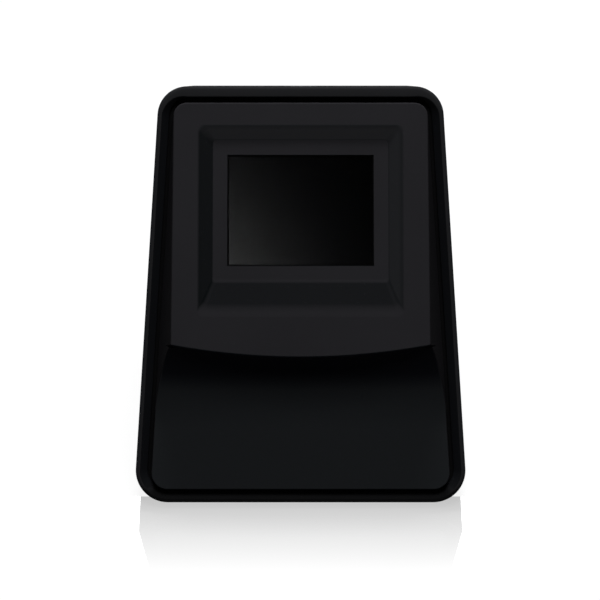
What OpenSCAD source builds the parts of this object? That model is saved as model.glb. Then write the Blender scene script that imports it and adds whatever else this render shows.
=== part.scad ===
// Desktop film negative scanner: reclined front with a display, film slot through both sides.
// The origin is on the table under the middle of the housing, +Y is the back, +Z is up.

/* [Body] */
// Length of the front frame, measured along its slope
front_length = 142; // [138:1:148]
// Width of the front frame at its bottom
bottom_width = 114.5; // [112:0.5:120]
// Width of the front frame at its top
top_width = 95; // [93:0.5:99]
// Depth from the front edge to the back wall
body_depth = 115; // [112:1:122]
// How far the front frame leans back from vertical
recline = 25; // [24:0.5:26]
// Corner radius of the front frame at the top
top_corner_r = 10; // [9.5:0.5:12]
// Corner radius of the front frame at the bottom
bottom_corner_r = 11; // [10:0.5:13]
// Wall thickness of the housing
wall = 2.4; // [2:0.1:2.6]
// Chamfer along the back edges of the housing
back_chamfer = 5; // [3:0.5:7]
// Height of the rubber feet
foot_height = 1.5; // [1:0.1:3]
// Diameter of the rubber feet
foot_d = 10; // [8:0.5:12]
// Thickness of the base plate
plate_t = 2; // [1.6:0.1:2.4]

/* [Front frame] */
// Height of the rim crest over the parting plane
rim_height = 1.5; // [1.3:0.1:2.5]
// Radius of the rim's outer edge
edge_r = 1.2; // [0.8:0.1:1.3]
// Width of the rim, crest and inner slope together
rim_width = 3.9; // [3.6:0.1:4.2]
// Drop of the inner slope from the crest
rim_drop = 2.3; // [1.5:0.1:2.6]
// Depth of the frame behind the parting plane
frame_depth = 9.5; // [9.2:0.1:10.5]
// Length of the tongue that enters the rear housing
tongue = 3; // [2:0.1:3.4]
// Thickness of the ledge that carries the cover
ledge_t = 2; // [1.6:0.1:2.4]

/* [Front cover] */
// Inset of the cover from the frame's outline
cover_inset = 5.5; // [5.2:0.1:5.8]
// Wall thickness of the cover
cover_wall = 2.2; // [1.8:0.1:2.4]
// Height of the lower panel over the parting plane
apron_height = 3; // [2.6:0.1:4]
// Tilt of the display face against the front frame
face_tilt = 10.5; // [10:0.25:11.5]
// Length of the display face down to the middle of its lip
face_length = 85; // [83:0.5:86]
// Radius of the curved lip
lip_r = 237; // [220:1:260]
// Height up the front where the scoop under the lip starts
scoop_start = 25.8; // [24:0.2:27]
// Radius of the scoop under the lip
scoop_r = 40; // [39:0.5:42]

/* [Display] */
// Width of the display window
window_w = 49; // [47:0.5:50]
// Height of the display window
window_h = 36.8; // [35:0.2:38]
// Distance from the top of the face to the middle of the window
window_drop = 36.2; // [35.5:0.1:37]
// Width of the recess at the face
recess_w = 67.4; // [66:0.2:69]
// Width of the flat frame at the bottom of the recess
recess_floor_w = 57.8; // [56:0.2:59]
// Distance from the top of the face to the recess
recess_top = 7.8; // [7:0.1:8.5]
// Height of the recess at the face
recess_h = 61.5; // [60:0.5:62.5]
// Width of the slope along the top of the recess
recess_slope_top = 5.4; // [5:0.1:6]
// Width of the slope along the bottom of the recess
recess_slope_bottom = 8.6; // [8:0.1:9]
// Depth of the recess
recess_depth = 2.6; // [2.3:0.1:3]
// Thickness of the clear window
window_t = 1; // [0.8:0.1:1.2]
// Width of the display module
lcd_w = 60.3; // [59:0.1:61]
// Height of the display module
lcd_h = 42.8; // [42:0.1:44]
// Thickness of the display module
lcd_t = 2.4; // [2:0.1:3]

/* [Film slot] */
// Width of the slot that takes the film holder
slot_w = 61.4; // [58:0.2:61.4]
// Height of the slot
slot_h = 9.5; // [9:0.1:11]
// Height of the slot's floor over the base plate
slot_floor = 15.5; // [15.5:0.1:18]
// Wall thickness of the film gate
gate_t = 2; // [1.6:0.1:2.2]
// Width of the picture opening, along the film
frame_w = 38; // [36.5:0.5:42]
// Height of the picture opening, across the film
frame_h = 26; // [24.5:0.5:28]
// Height of the guide ribs that the holder slides on
rib_h = 0.6; // [0.4:0.1:1]

/* [Camera] */
// Distance from the gate's roof to the top of the camera tower
tower_h = 29.5; // [27:0.5:33]
// Radius of the lens barrel
lens_r = 6.2; // [5.5:0.1:7]
// Length of the lens barrel
lens_length = 18; // [14:0.5:20]

/* [Buttons] */
// Travel of each push button
button_travel = 0.9; // [0.6:0.1:1.1]
// Height of the button caps over the housing (0 is flush)
button_height = 0; // [0:0.1:1]
// Distance of the buttons behind the parting plane
button_back = 24; // [22:0.5:27]
// Spacing of the buttons
button_pitch = 16.5; // [16:0.1:17]
// Diameter of the large middle button
ok_d = 13; // [11:0.5:13]
// Diameter of the two outer buttons
round_d = 9; // [8:0.5:10]
// Width of the two step buttons
step_w = 11; // [9:0.5:11]

/* [Clearances] */
// Gap between parts that are assembled into each other
fit = 0.2; // [0.1:0.05:0.25]
// Gap around parts that slide
slide = 0.1; // [0.06:0.01:0.15]

/* [Hidden] */
$fn = 72;
big = 400;

// taper of the front outline: side lines run inwards by side_k for each unit upwards
side_k = (bottom_width - top_width) / 2 / front_length;
side_q = sqrt(1 + side_k * side_k);
side_angle = atan(side_k);
rim_lift = 1.3;
rim_flat = 0.3;
tongue_t = 1.4;
front_y = -body_depth / 2 + edge_r * (1 - sin(recline)) + (rim_height - edge_r) * cos(recline);
front_z = foot_height + rim_lift;
back_y = body_depth / 2;
plate_top = foot_height + plate_t;
chamfer_z = plate_top + 40;

// cover and ledge
ledge_h = -2.6;
ledge_w = 8.6;
face_top_h = apron_height + 0.1;
face_top_s = front_length - cover_inset - 0.3;
side_tilt = atan(side_k / (side_q * tan(face_tilt)));
floor_t = 1.8;
floor_w = recess_depth + floor_t;
window_rebate = window_t + fit;
window_edge = 1.8;
lcd_top_w = floor_w + fit;
lcd_glass_t = 0.9;
lcd_shift = 2;
bracket_w = lcd_top_w + lcd_t + 0.1;
bracket_t = 1.2;
lcd_post_x = recess_floor_w / 2 + 7;
lcd_post_v = 14;

// screws
thread_r = 1.1;
head_r = 2;
head_t = 1.3;
boss_r = 3;
pilot_r = thread_r + 0.05;
base_screw_l = 7;
cover_screw_l = ledge_t + 2.4;
lcd_screw_l = bracket_t + 2.2;
gate_screw_l = 8;
board_screw_l = 5;
light_screw_l = 3.6;
tower_screw_l = 3.8;
hole_r = 1.3;
front_screw_in = 14;

// film gate, its middle is the optical axis
gate_y = front_y + (plate_top + slot_floor + slot_h + gate_t - front_z) * tan(recline)
    + (frame_depth + tongue) / cos(recline) + gate_t + slot_w / 2 + 0.5;
gate_z = plate_top + slot_floor;
roof_z = gate_z + slot_h;
deck_z = roof_z + gate_t;
gate_half = side_x(gate_y + slot_w / 2 + gate_t, deck_z, wall) - 0.4;
gate_screw_x = 34;
gate_screw_y = slot_w / 2 + gate_t + boss_r + 0.4;

// backlight under the gate
light_w = 46;
light_d = 34;
light_wall = 1.2;
board_t = 1.6;
light_board_z = plate_top + 2;
diffuser_t = 2;
light_screw_x = 28;
light_screw_y = 10;

// camera tower over the gate
tower_w = 44;
tower_d = 34;
tower_wall = 1.8;
tower_top = deck_z + tower_h;
tower_ear = 8;
sensor_gap = 6;
sensor_w = 38;
sensor_d = 30;
sensor_screw_x = 15.5;
sensor_screw_y = 11.5;
holder_w = 17;
glass_t = 1.6;

// main board on the deck behind the tower
main_z = deck_z + 5.5;
main_w = 76;
main_front = gate_y + tower_d / 2 + 2;
main_back = back_y - wall - 0.6;
main_post_x = 33;
main_post_r = 2.5;
deck_back = back_y - wall - 4.5;
deck_half = main_post_x + 4;
usb_x = -24;
usb_w = 7.8;
usb_h = 4;
usb_d = 9.2;
av_x = -8;
av_r = 3;
av_w = 8;
av_d = 11;
sd_x = 15;
sd_w = 28;
sd_h = 3;
sd_d = 27;
socket_mouth = back_y - 0.9;

// buttons on the sloping top
button_xs = [-2, -1, 0, 1, 2] * button_pitch;
flange = 1.2;
flange_t = 1;
stem_r = 2;
stem_end = 6.4;
switch_w = 6;
switch_top = stem_end + button_travel + 0.1;
switch_t = 4;
button_board_n = switch_top + 0.5 + switch_t;
button_board_w = 80;
step_d = 8;
button_post_x = 1.5 * button_pitch;
button_post_b = step_d / 2 + flange + main_post_r + 0.5;
button_board_d = 2 * (button_post_b + 3);

// detent that clicks into the film holder
detent_y = gate_y + slot_w / 2;
detent_z = gate_z + slot_h / 2;
detent_x = 30;
pin_r = 1.5;
detent_reach = 1.2;
collar_r = 2.2;
barrel_r = 3.1;
neck_t = 1.4;
collar_t = 1;
spring_l = 3.2;
spring_wire = 0.22;
spring_turns = 4;
barrel_end = gate_t + neck_t + collar_t + spring_l;

// ribbons and cable
ribbon_t = 0.3;
lcd_ribbon_w = 8;
lcd_ribbon_x = lcd_shift + lcd_w / 2 - lcd_ribbon_w / 2 - 1.6;
sensor_ribbon_w = 12;
button_ribbon_w = 7;
button_ribbon_x = 27;
cable_r = 1;
cable_x = main_w / 2 + 2.5;

// place along the front frame's slope, and the housing's side wall at a given inset
function up_front(y, z) = (z - front_z) * cos(recline) + (y - front_y) * sin(recline);
function half_width(s, inset) = bottom_width / 2 - side_k * s - inset * side_q;
function side_x(y, z, inset) = half_width(up_front(y, z), inset);
function front_point(s, h) = [front_y + s * sin(recline) - h * cos(recline),
    front_z + s * cos(recline) + h * sin(recline)];
function face_point(v, w) = front_point(face_top_s + v * cos(face_tilt) + w * sin(face_tilt),
    face_top_h - v * sin(face_tilt) + w * cos(face_tilt));
function face_h(s) = face_top_h + (face_top_s - s) * tan(face_tilt);

// ---- frames of reference ----

module front() {
    translate([0, front_y, front_z]) rotate([90 - recline, 0, 0]) children();
}

module face() {
    front() translate([0, face_top_s, face_top_h]) rotate([-face_tilt, 0, 0]) children();
}

module on_top() {
    front() translate([0, front_length, -button_back]) rotate([-90, 0, 0]) children();
}

module both_sides() {
    children();
    mirror([1, 0, 0]) children();
}

// ---- shared shapes ----

// rounded trapezoid of the front, drawn in the slope's own plane
module outline(inset, sides = 72) {
    corner_b = bottom_corner_r;
    corner_t = top_corner_r;
    centre_b = [half_width(corner_b, corner_b), corner_b];
    centre_t = [half_width(front_length - corner_t, corner_t), front_length - corner_t];
    out = [1, side_k] / side_q;
    right = [[centre_b[0], inset], centre_b + out * (corner_b - inset),
        centre_t + out * (corner_t - inset), [centre_t[0], front_length - inset]];
    left = [for (i = [3:-1:0]) [-right[i][0], right[i][1]]];
    polygon(concat(right, left));
    for (side = [-1, 1]) {
        translate([side * centre_b[0], centre_b[1]]) circle(corner_b - inset, $fn = sides);
        translate([side * centre_t[0], centre_t[1]]) circle(corner_t - inset, $fn = sides);
    }
}

// everything inside the housing walls, with the walls taken off by inset
module body_block(inset, front_h, floor_z) {
    difference() {
        intersection() {
            front() translate([0, 0, -big]) linear_extrude(big + front_h) outline(inset);
            translate([-big / 2, back_y - inset - big, floor_z]) cube([big, big, big]);
        }
        both_sides() translate([side_x(back_y, chamfer_z, inset), back_y - inset, -1])
            rotate([0, 0, 45]) translate([-back_chamfer / sqrt(2), -big / 2, 0])
                cube([big, big, big]);
        translate([-big / 2, back_y - inset, top_edge_z(inset)])
            rotate([(90 - recline) / 2 - 90, 0, 0])
                translate([0, -big / 2, -back_chamfer / 2]) cube([big, big, big]);
    }
}

function top_edge_z(inset) = front_z + (front_length - inset - (back_y - inset - front_y)
    * sin(recline)) / cos(recline);

module screw(length) {
    cylinder(r = head_r, h = head_t);
    translate([0, 0, -length]) cylinder(r = thread_r, h = length);
}

module post(height, radius) {
    difference() {
        cylinder(r = radius, h = height);
        translate([0, 0, -1]) cylinder(r = pilot_r, h = height + 2);
    }
}

// flat strip with a bent path in Y and Z, its points listed by hand
module ribbon(points, width, thickness) {
    rotate([90, 0, 90]) linear_extrude(width, center = true)
        for (i = [0:len(points) - 2]) strip_2d(points[i], points[i + 1], thickness);
}

module strip_2d(a, b, thickness) {
    angle = atan2(b[1] - a[1], b[0] - a[0]);
    translate(a) rotate(angle) translate([0, -thickness / 2])
        square([norm(b - a), thickness]);
    translate(b) circle(thickness * 0.6);
}

module rounded_box(w, d, h, r) {
    linear_extrude(h) {
        square([w - 2 * r, d], center = true);
        square([w, d - 2 * r], center = true);
        for (x = [-1, 1]) for (y = [-1, 1])
            translate([x * (w / 2 - r), y * (d / 2 - r)]) circle(r);
    }
}

// ---- casings ----

module rear_housing() {
    color([0.09, 0.09, 0.1]) {
        difference() {
            union() {
                difference() {
                    body_block(0, -frame_depth - fit, foot_height);
                    body_block(wall, 0, -5);
                }
                intersection() {
                    body_block(wall - 0.4, -frame_depth - tongue - 3, plate_top + fit);
                    housing_bosses();
                }
            }
            film_slot();
            socket_cuts();
            for (x = button_xs) on_top() button_hole(x);
            both_sides() rear_screw_at() translate([0, 0, -5]) cylinder(r = pilot_r, h = 25);
        }
        button_posts();
    }
}

module rear_screw_at() {
    translate([side_x(back_y, plate_top, wall) - back_chamfer - boss_r,
        back_y - wall - boss_r - 3, 0])
        children();
}

module housing_bosses() {
    height = gate_z - gate_t - 1;
    both_sides() rear_screw_at() {
        cylinder(r = boss_r, h = height);
        translate([0, -1, 0]) cube([20, 2, height]);
        translate([-1, 0, 0]) cube([2, 20, height]);
    }
}

module film_slot() {
    translate([-big / 2, gate_y - slot_w / 2, gate_z]) cube([big, slot_w, slot_h]);
}

module socket_cuts() {
    usb_z = main_z + board_t + usb_h / 2;
    translate([usb_x, back_y, usb_z])
        cube([usb_w + 2 * fit, 20, usb_h + 2 * fit], center = true);
    translate([av_x, back_y + 10, main_z + board_t + av_w / 2]) rotate([90, 0, 0])
        cylinder(r = av_r + fit, h = 20);
    translate([sd_x, back_y, main_z - sd_h / 2])
        cube([sd_w + 2 * fit, 20, sd_h + 2 * fit], center = true);
}

module button_hole(x) {
    translate([x, 0, -5]) {
        if (abs(x) < 1) cylinder(r = ok_d / 2 + slide, h = 10);
        else if (abs(x) > 1.5 * button_pitch) cylinder(r = round_d / 2 + slide, h = 10);
        else rounded_box(step_w + 2 * slide, step_d + 2 * slide, 10, 1.5);
    }
}

module button_posts() {
    both_sides() for (b = [-1, 1])
        on_top() translate([button_post_x, b * button_post_b, -button_board_n])
            post(button_board_n - wall + 0.1, main_post_r);
}

module front_frame() {
    color([0.08, 0.08, 0.09])
    difference() {
        union() {
            intersection() {
                front() frame_ring();
                translate([-big / 2, -big / 2, foot_height]) cube(big);
            }
            front() cover_tabs();
            both_sides() front_screw_at() front_boss();
        }
        plate_form(0);
        front() cover_screw_places() translate([0, 0, ledge_h - 5]) cylinder(r = hole_r, h = 10);
        both_sides() front_screw_at() translate([0, 0, -5]) cylinder(r = pilot_r, h = 12);
    }
}

// thin slice of the outline at a height, for building up rounded and sloping edges
module slice(inset, h) {
    translate([0, 0, h]) linear_extrude(0.001) outline(inset, 32);
}

// the frame: rounded rim, inner slope, groove, ledge and tongue, all round
module frame_ring() {
    inner = wall + fit + tongue_t;
    slope = (rim_width - edge_r - rim_flat) / rim_drop;
    difference() {
        hull() {
            slice(0, -frame_depth);
            for (a = [0:22.5:90])
                slice(edge_r * (1 - cos(a)), rim_height - edge_r * (1 - sin(a)));
        }
        hull() {
            slice(rim_width, rim_height - rim_drop);
            slice(edge_r + rim_flat - slope * rim_flat, rim_height + rim_flat);
        }
        translate([0, 0, ledge_h]) linear_extrude(20) outline(rim_width);
        translate([0, 0, -big]) linear_extrude(big) outline(ledge_w);
        translate([0, 0, -big]) linear_extrude(big + ledge_h - ledge_t) outline(inner);
    }
    translate([0, 0, -frame_depth - tongue])
        linear_extrude(frame_depth + tongue + ledge_h - ledge_t / 2) difference() {
            outline(wall + fit);
            outline(inner);
        }
}

module front_screw_at() {
    translate([30, front_y + front_screw_in, plate_top]) children();
}

// boss for a base screw, with a rib that joins it to the ledge
module front_boss() {
    ledge_end = front_point(ledge_w - 2, ledge_h - ledge_t / 2);
    cylinder(r = boss_r, h = 9);
    translate([-1.2, ledge_end[0] - front_y - front_screw_in, 0.5])
        cube([2.4, front_screw_in - ledge_end[0] + front_y, ledge_end[1] - plate_top - 0.5]);
}

// screws that hold the cover: two at the top, two at the bottom, one on each side
module cover_screw_places() {
    both_sides() {
        translate([22, ledge_w + 1]) children();
        translate([26, front_length - ledge_w - 1]) children();
        translate([half_width(70, ledge_w + 1), 70]) children();
    }
}

module cover_tabs() {
    cover_screw_places() translate([0, 0, ledge_h - ledge_t]) cylinder(r = boss_r, h = ledge_t);
}

// the front cover's outer form, or its cavity when taken in by d
module cover_form(d, floor_h) {
    difference() {
        intersection() {
            translate([0, 0, floor_h]) linear_extrude(60) outline(cover_inset + d);
            union() {
                rotate([90, 0, 90]) linear_extrude(big, center = true) difference() {
                    cover_side(d, floor_h - 1, scoop_start);
                    translate([scoop_start, apron_height + scoop_r]) circle(scoop_r + d);
                }
                intersection() {
                    rotate([90, 0, 90]) linear_extrude(big, center = true)
                        cover_side(d, floor_h - 1, scoop_start);
                    translate([0, face_top_s, face_top_h]) rotate([-face_tilt, 0, 0])
                        translate([0, lip_r - face_length, -30])
                            cylinder(r = lip_r - d, h = 60, $fn = 360);
                }
            }
        }
        both_sides()
            translate([half_width(face_top_s, cover_inset) + 0.15 - d / cos(side_tilt),
                face_top_s, apron_height])
                rotate([0, 0, side_angle]) rotate([0, -side_tilt, 0])
                    translate([0, -big / 2, -big / 2]) cube(big);
    }
}

module cover_side(d, floor_h, start) {
    drop = d / cos(face_tilt);
    polygon([[0, floor_h], [0, apron_height - d], [start, apron_height - d],
        [start, face_h(start) - drop], [front_length, face_h(front_length) - drop],
        [front_length, floor_h]]);
}

module front_cover() {
    color([0.11, 0.11, 0.12]) difference() {
        union() {
            front() difference() {
                cover_form(0, ledge_h);
                cover_form(cover_wall, ledge_h - 1);
            }
            face() display_floor();
            front() intersection() {
                cover_form(cover_wall / 2, ledge_h);
                cover_screw_places() translate([0, 0, ledge_h])
                    cylinder(r = boss_r - 0.2, h = 30);
            }
            face() lcd_posts();
        }
        face() recess_form();
        face() translate([0, -window_drop, 0]) cube([window_w, window_h, 20], center = true);
        face() translate([0, -window_drop, -floor_w - 5 + window_rebate])
            cube([window_w + 2 * window_edge, window_h + 2 * window_edge, 10], center = true);
        front() cover_screw_places() translate([0, 0, ledge_h - 1])
            cylinder(r = pilot_r, h = 3.6);
    }
}

// material under the recess, joined to the face all round it
module display_floor() {
    margin = 1.6;
    translate([-recess_w / 2 - margin, -recess_top - recess_h - margin, -floor_w])
        cube([recess_w + 2 * margin, recess_h + 2 * margin - 2.2, floor_w - 1]);
}

// sloping sides of the recess, as two crossed trapezoids
module recess_form() {
    lift = 3;
    slope_x = (recess_w - recess_floor_w) / 2 / recess_depth;
    half = recess_w / 2 + lift * slope_x;
    low = recess_floor_w / 2;
    up = -recess_top + lift * recess_slope_top / recess_depth;
    down = -recess_top - recess_h - lift * recess_slope_bottom / recess_depth;
    intersection() {
        rotate([90, 0, 0]) linear_extrude(big, center = true)
            polygon([[-half, lift], [half, lift], [low, -recess_depth], [-low, -recess_depth]]);
        rotate([90, 0, 90]) linear_extrude(big, center = true)
            polygon([[up, lift], [down, lift],
                [-recess_top - recess_h + recess_slope_bottom, -recess_depth],
                [-recess_top - recess_slope_top, -recess_depth]]);
    }
}

module lcd_posts() {
    for (x = [-1, 1]) for (v = [-1, 1])
        translate([x * lcd_post_x, -window_drop + v * lcd_post_v, -bracket_w])
            post(bracket_w - 1.2, boss_r - 0.6);
}

module plate_form(gap) {
    intersection() {
        front() translate([0, 0, -big]) linear_extrude(big) outline(wall + gap);
        translate([-big / 2, back_y - wall - gap - big, foot_height - 5 + 5 * sign(gap)])
            cube([big, big, plate_t + 5 - 5 * sign(gap)]);
    }
}

module base_plate() {
    color([0.1, 0.1, 0.11]) difference() {
        union() {
            intersection() {
                plate_form(fit);
                body_block(wall + fit, 0, foot_height);
            }
            translate([0, gate_y, plate_top - 0.5]) {
                for (x = [-1, 1]) for (y = [-1, 1]) {
                    translate([x * gate_screw_x, y * gate_screw_y, 0])
                        cylinder(r = boss_r, h = slot_floor - gate_t + 0.5);
                    translate([x * light_screw_x, y * light_screw_y, 0])
                        cylinder(r = boss_r - 0.6, h = light_board_z - plate_top + 0.5);
                }
            }
        }
        translate([0, gate_y, 0]) for (x = [-1, 1]) for (y = [-1, 1]) {
            translate([x * gate_screw_x, y * gate_screw_y, plate_top])
                cylinder(r = pilot_r, h = slot_floor);
            translate([x * light_screw_x, y * light_screw_y, plate_top - 1])
                cylinder(r = pilot_r, h = slot_floor);
        }
        both_sides() {
            rear_screw_at() base_hole();
            front_screw_at() translate([0, 0, -plate_top]) base_hole();
            foot_at() translate([0, 0, -1]) cylinder(r = foot_d / 2 + fit, h = 1.6);
        }
        for (i = [-3:3]) translate([i * 6, gate_y - light_d / 2 - 9, 0])
            cube([2, 14, 20], center = true);
    }
}

module base_hole() {
    cylinder(r = hole_r, h = 20);
    cylinder(r = head_r + 0.3, h = foot_height + head_t - 0.4);
}

// the four feet stand near the corners of the base plate
module foot_at() {
    for (y = [front_y + 18, back_y - 20])
        translate([side_x(back_y, foot_height, wall) - foot_d, y, foot_height]) children();
}

module rubber_feet() {
    color([0.05, 0.05, 0.05]) both_sides() foot_at() translate([0, 0, -foot_height])
        cylinder(r = foot_d / 2, h = foot_height + 0.6);
}

module base_screws() {
    color("silver") both_sides() {
        rear_screw_at() base_screw();
        front_screw_at() translate([0, 0, -plate_top]) base_screw();
    }
}

module base_screw() {
    translate([0, 0, foot_height - 0.4 + head_t]) rotate([180, 0, 0]) screw(base_screw_l);
}

module cover_screws() {
    color("silver") front() cover_screw_places() translate([0, 0, ledge_h - ledge_t])
        rotate([180, 0, 0]) screw(cover_screw_l);
}

// ---- display ----

module screen_window() {
    color([0.5, 0.55, 0.6, 0.4]) face() translate([0, -window_drop, -floor_w + fit])
        linear_extrude(window_t) square([window_w + 2 * window_edge - 2 * fit,
            window_h + 2 * window_edge - 2 * fit], center = true);
}

module lcd_panel() {
    color([0.05, 0.06, 0.07]) face() translate([lcd_shift, -window_drop, -lcd_top_w - lcd_glass_t])
        linear_extrude(lcd_glass_t) square([lcd_w - 2, lcd_h - 1], center = true);
}

module lcd_light_unit() {
    color([0.75, 0.77, 0.78]) face() translate([lcd_shift, -window_drop, -lcd_top_w - lcd_t])
        difference() {
            linear_extrude(lcd_t) square([lcd_w, lcd_h], center = true);
            translate([0, 0, lcd_t - lcd_glass_t]) linear_extrude(5)
                square([lcd_w - 2, lcd_h - 1], center = true);
        }
}

module lcd_bracket() {
    color([0.7, 0.72, 0.74]) face() difference() {
        translate([0, -window_drop, -bracket_w - bracket_t]) union() {
            rounded_box(lcd_w + 6, lcd_h + 2, bracket_t, 2);
            for (v = [-1, 1]) translate([0, v * lcd_post_v, 0])
                rounded_box(2 * lcd_post_x + 6, 7, bracket_t, 2);
        }
        translate([0, -window_drop, 0]) {
            cube([lcd_w - 16, lcd_h - 14, 60], center = true);
            for (x = [-1, 1]) for (v = [-1, 1]) translate([x * lcd_post_x, v * lcd_post_v, -30])
                cylinder(r = hole_r, h = 60);
        }
    }
}

module lcd_screws() {
    color("silver") face() for (x = [-1, 1]) for (v = [-1, 1])
        translate([x * lcd_post_x, -window_drop + v * lcd_post_v, -bracket_w - bracket_t])
            rotate([180, 0, 0]) screw(lcd_screw_l);
}

// ---- film gate ----

module gate_ears(h) {
    for (x = [-1, 1]) for (y = [-1, 1])
        translate([x * gate_screw_x, y * gate_screw_y, 0]) {
            cylinder(r = boss_r, h = h);
            translate([0, -y * boss_r / 2, h / 2])
                cube([2 * boss_r, boss_r + 2, h], center = true);
        }
}

module lower_gate() {
    color([0.14, 0.14, 0.15]) translate([0, gate_y, gate_z - gate_t]) difference() {
        union() {
            translate([-gate_half, -slot_w / 2 - gate_t, 0])
                cube([2 * gate_half, slot_w + 2 * gate_t, gate_t + slot_h]);
            gate_ears(gate_t);
            roof_screw_at() cylinder(r = boss_r, h = gate_t + slot_h);
        }
        difference() {
            translate([-gate_half - 1, -slot_w / 2, gate_t])
                cube([2 * gate_half + 2, slot_w, slot_h + 5]);
            for (y = [-1, 1]) translate([0, y * (slot_w / 2 - 3), gate_t])
                cube([2 * gate_half + 4, 2, 2 * rib_h], center = true);
        }
        cube([frame_w, frame_h, 30], center = true);
        translate([detent_x, slot_w / 2 - 1, gate_t + slot_h / 2]) rotate([-90, 0, 0])
            cylinder(r = barrel_r, h = gate_t + 5);
        for (x = [-1, 1]) for (y = [-1, 1])
            translate([x * gate_screw_x, y * gate_screw_y, -1]) cylinder(r = hole_r, h = 20);
        roof_screw_at() translate([0, 0, gate_t + 1]) cylinder(r = pilot_r, h = slot_h + 5);
    }
}

module upper_gate() {
    color([0.16, 0.16, 0.17]) difference() {
        union() {
            translate([-gate_half, gate_y - slot_w / 2 - gate_t, roof_z])
                cube([2 * gate_half, slot_w + 2 * gate_t, gate_t]);
            translate([-deck_half, gate_y, roof_z])
                cube([2 * deck_half, deck_back - gate_y, gate_t]);
            translate([0, gate_y, roof_z]) roof_screw_at() cylinder(r = boss_r, h = gate_t);
            main_posts();
        }
        translate([0, gate_y, deck_z]) cube([frame_w, frame_h, 30], center = true);
        tower_screw_at() translate([0, 0, deck_z - 10]) cylinder(r = pilot_r, h = 20);
        translate([0, gate_y, roof_z - 5]) roof_screw_at() cylinder(r = hole_r, h = 20);
    }
}

// the roof is screwed down into pillars at the four corners of the lower gate
module roof_screw_at() {
    for (x = [-1, 1]) for (y = [-1, 1])
        translate([x * (gate_half - 4), y * (slot_w / 2 + gate_t + boss_r - 1), 0]) children();
}

module roof_screws() {
    color("silver") translate([0, gate_y, deck_z]) roof_screw_at() screw(gate_screw_l);
}

module main_posts() {
    for (x = [-1, 1]) for (y = [main_front + 3, deck_back - 3])
        translate([x * main_post_x, y, deck_z - 0.5])
            post(main_z - deck_z + 0.5, main_post_r);
}

module gate_screws() {
    color("silver") translate([0, gate_y, gate_z]) for (x = [-1, 1]) for (y = [-1, 1])
        translate([x * gate_screw_x, y * gate_screw_y, 0]) screw(gate_screw_l);
}

// ---- backlight ----

module light_board() {
    color([0.1, 0.35, 0.2]) translate([0, gate_y, light_board_z]) difference() {
        rounded_box(2 * light_screw_x + 8, light_d + 4, board_t, 2);
        for (x = [-1, 1]) for (y = [-1, 1])
            translate([x * light_screw_x, y * light_screw_y, -1]) cylinder(r = hole_r, h = 5);
    }
}

module light_screws() {
    color("silver") translate([0, gate_y, light_board_z + board_t])
        for (x = [-1, 1]) for (y = [-1, 1])
            translate([x * light_screw_x, y * light_screw_y, 0]) screw(light_screw_l);
}

module light_leds() {
    color([0.95, 0.93, 0.75]) for (x = [-1:1]) for (y = [-0.5, 0.5])
        translate([x * 13, gate_y + y * 14, light_board_z + board_t])
            linear_extrude(0.8) square([3.5, 2.8], center = true);
}

module light_box() {
    base = light_board_z + board_t;
    height = gate_z - gate_t - diffuser_t - base;
    color([0.92, 0.92, 0.9]) translate([0, gate_y, base]) difference() {
        rounded_box(light_w, light_d, height, 2);
        translate([0, 0, -1])
            rounded_box(light_w - 2 * light_wall, light_d - 2 * light_wall, height + 2, 1);
    }
}

module diffuser() {
    color([0.97, 0.97, 0.95]) translate([0, gate_y, gate_z - gate_t - diffuser_t])
        rounded_box(light_w, light_d, diffuser_t, 2);
}

// ---- camera ----

module tower_screw_at() {
    for (x = [-1, 1]) for (y = [-1, 1])
        translate([x * (tower_w / 2 + tower_ear / 2), gate_y + y * 11, 0]) children();
}

module camera_tower() {
    color([0.07, 0.07, 0.08]) difference() {
        union() {
            translate([0, gate_y, deck_z]) rounded_box(tower_w, tower_d, tower_h, 3);
            tower_screw_at() translate([0, 0, deck_z]) {
                cylinder(r = tower_ear / 2, h = 2);
                translate([0, 0, 1]) cube([tower_ear + 2, 5, 2], center = true);
            }
            for (x = [-1, 1]) for (y = [-1, 1])
                translate([x * sensor_screw_x, gate_y + y * sensor_screw_y, tower_top - 0.5])
                    post(sensor_gap + 0.5, 2.2);
        }
        translate([0, gate_y, deck_z - 1])
            rounded_box(tower_w - 2 * tower_wall, tower_d - 2 * tower_wall,
                tower_h - tower_wall + 1, 1.5);
        translate([0, gate_y, deck_z]) cylinder(r = lens_r + 1, h = tower_h + 1);
        tower_screw_at() translate([0, 0, deck_z - 1]) cylinder(r = hole_r, h = 5);
    }
}

module tower_screws() {
    color("silver") tower_screw_at() translate([0, 0, deck_z + 2]) screw(tower_screw_l);
}

module lens_holder() {
    color([0.1, 0.1, 0.1]) translate([0, gate_y, tower_top + 0.3]) difference() {
        rounded_box(holder_w, holder_w, sensor_gap - 0.3, 1.5);
        translate([0, 0, -1]) cylinder(r = lens_r, h = sensor_gap - 1);
        translate([0, 0, sensor_gap - 3]) linear_extrude(10) square(9, center = true);
    }
}

module lens_barrel() {
    color([0.12, 0.12, 0.13]) translate([0, gate_y, tower_top + 3 - lens_length])
        difference() {
            cylinder(r = lens_r, h = lens_length);
            translate([0, 0, -1]) cylinder(r = lens_r - 1.2, h = glass_t + 1.6);
            cylinder(r = lens_r - 2.4, h = lens_length + 1);
        }
}

module lens_glass() {
    color([0.35, 0.4, 0.5]) translate([0, gate_y, tower_top + 3 - lens_length + 0.6])
        cylinder(r = lens_r - 1.2, h = glass_t);
}

module sensor_board() {
    color([0.1, 0.35, 0.2]) translate([0, gate_y, tower_top + sensor_gap]) difference() {
        rounded_box(sensor_w, sensor_d, board_t, 1.5);
        for (x = [-1, 1]) for (y = [-1, 1])
            translate([x * sensor_screw_x, y * sensor_screw_y, -1]) cylinder(r = hole_r, h = 5);
    }
}

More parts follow.
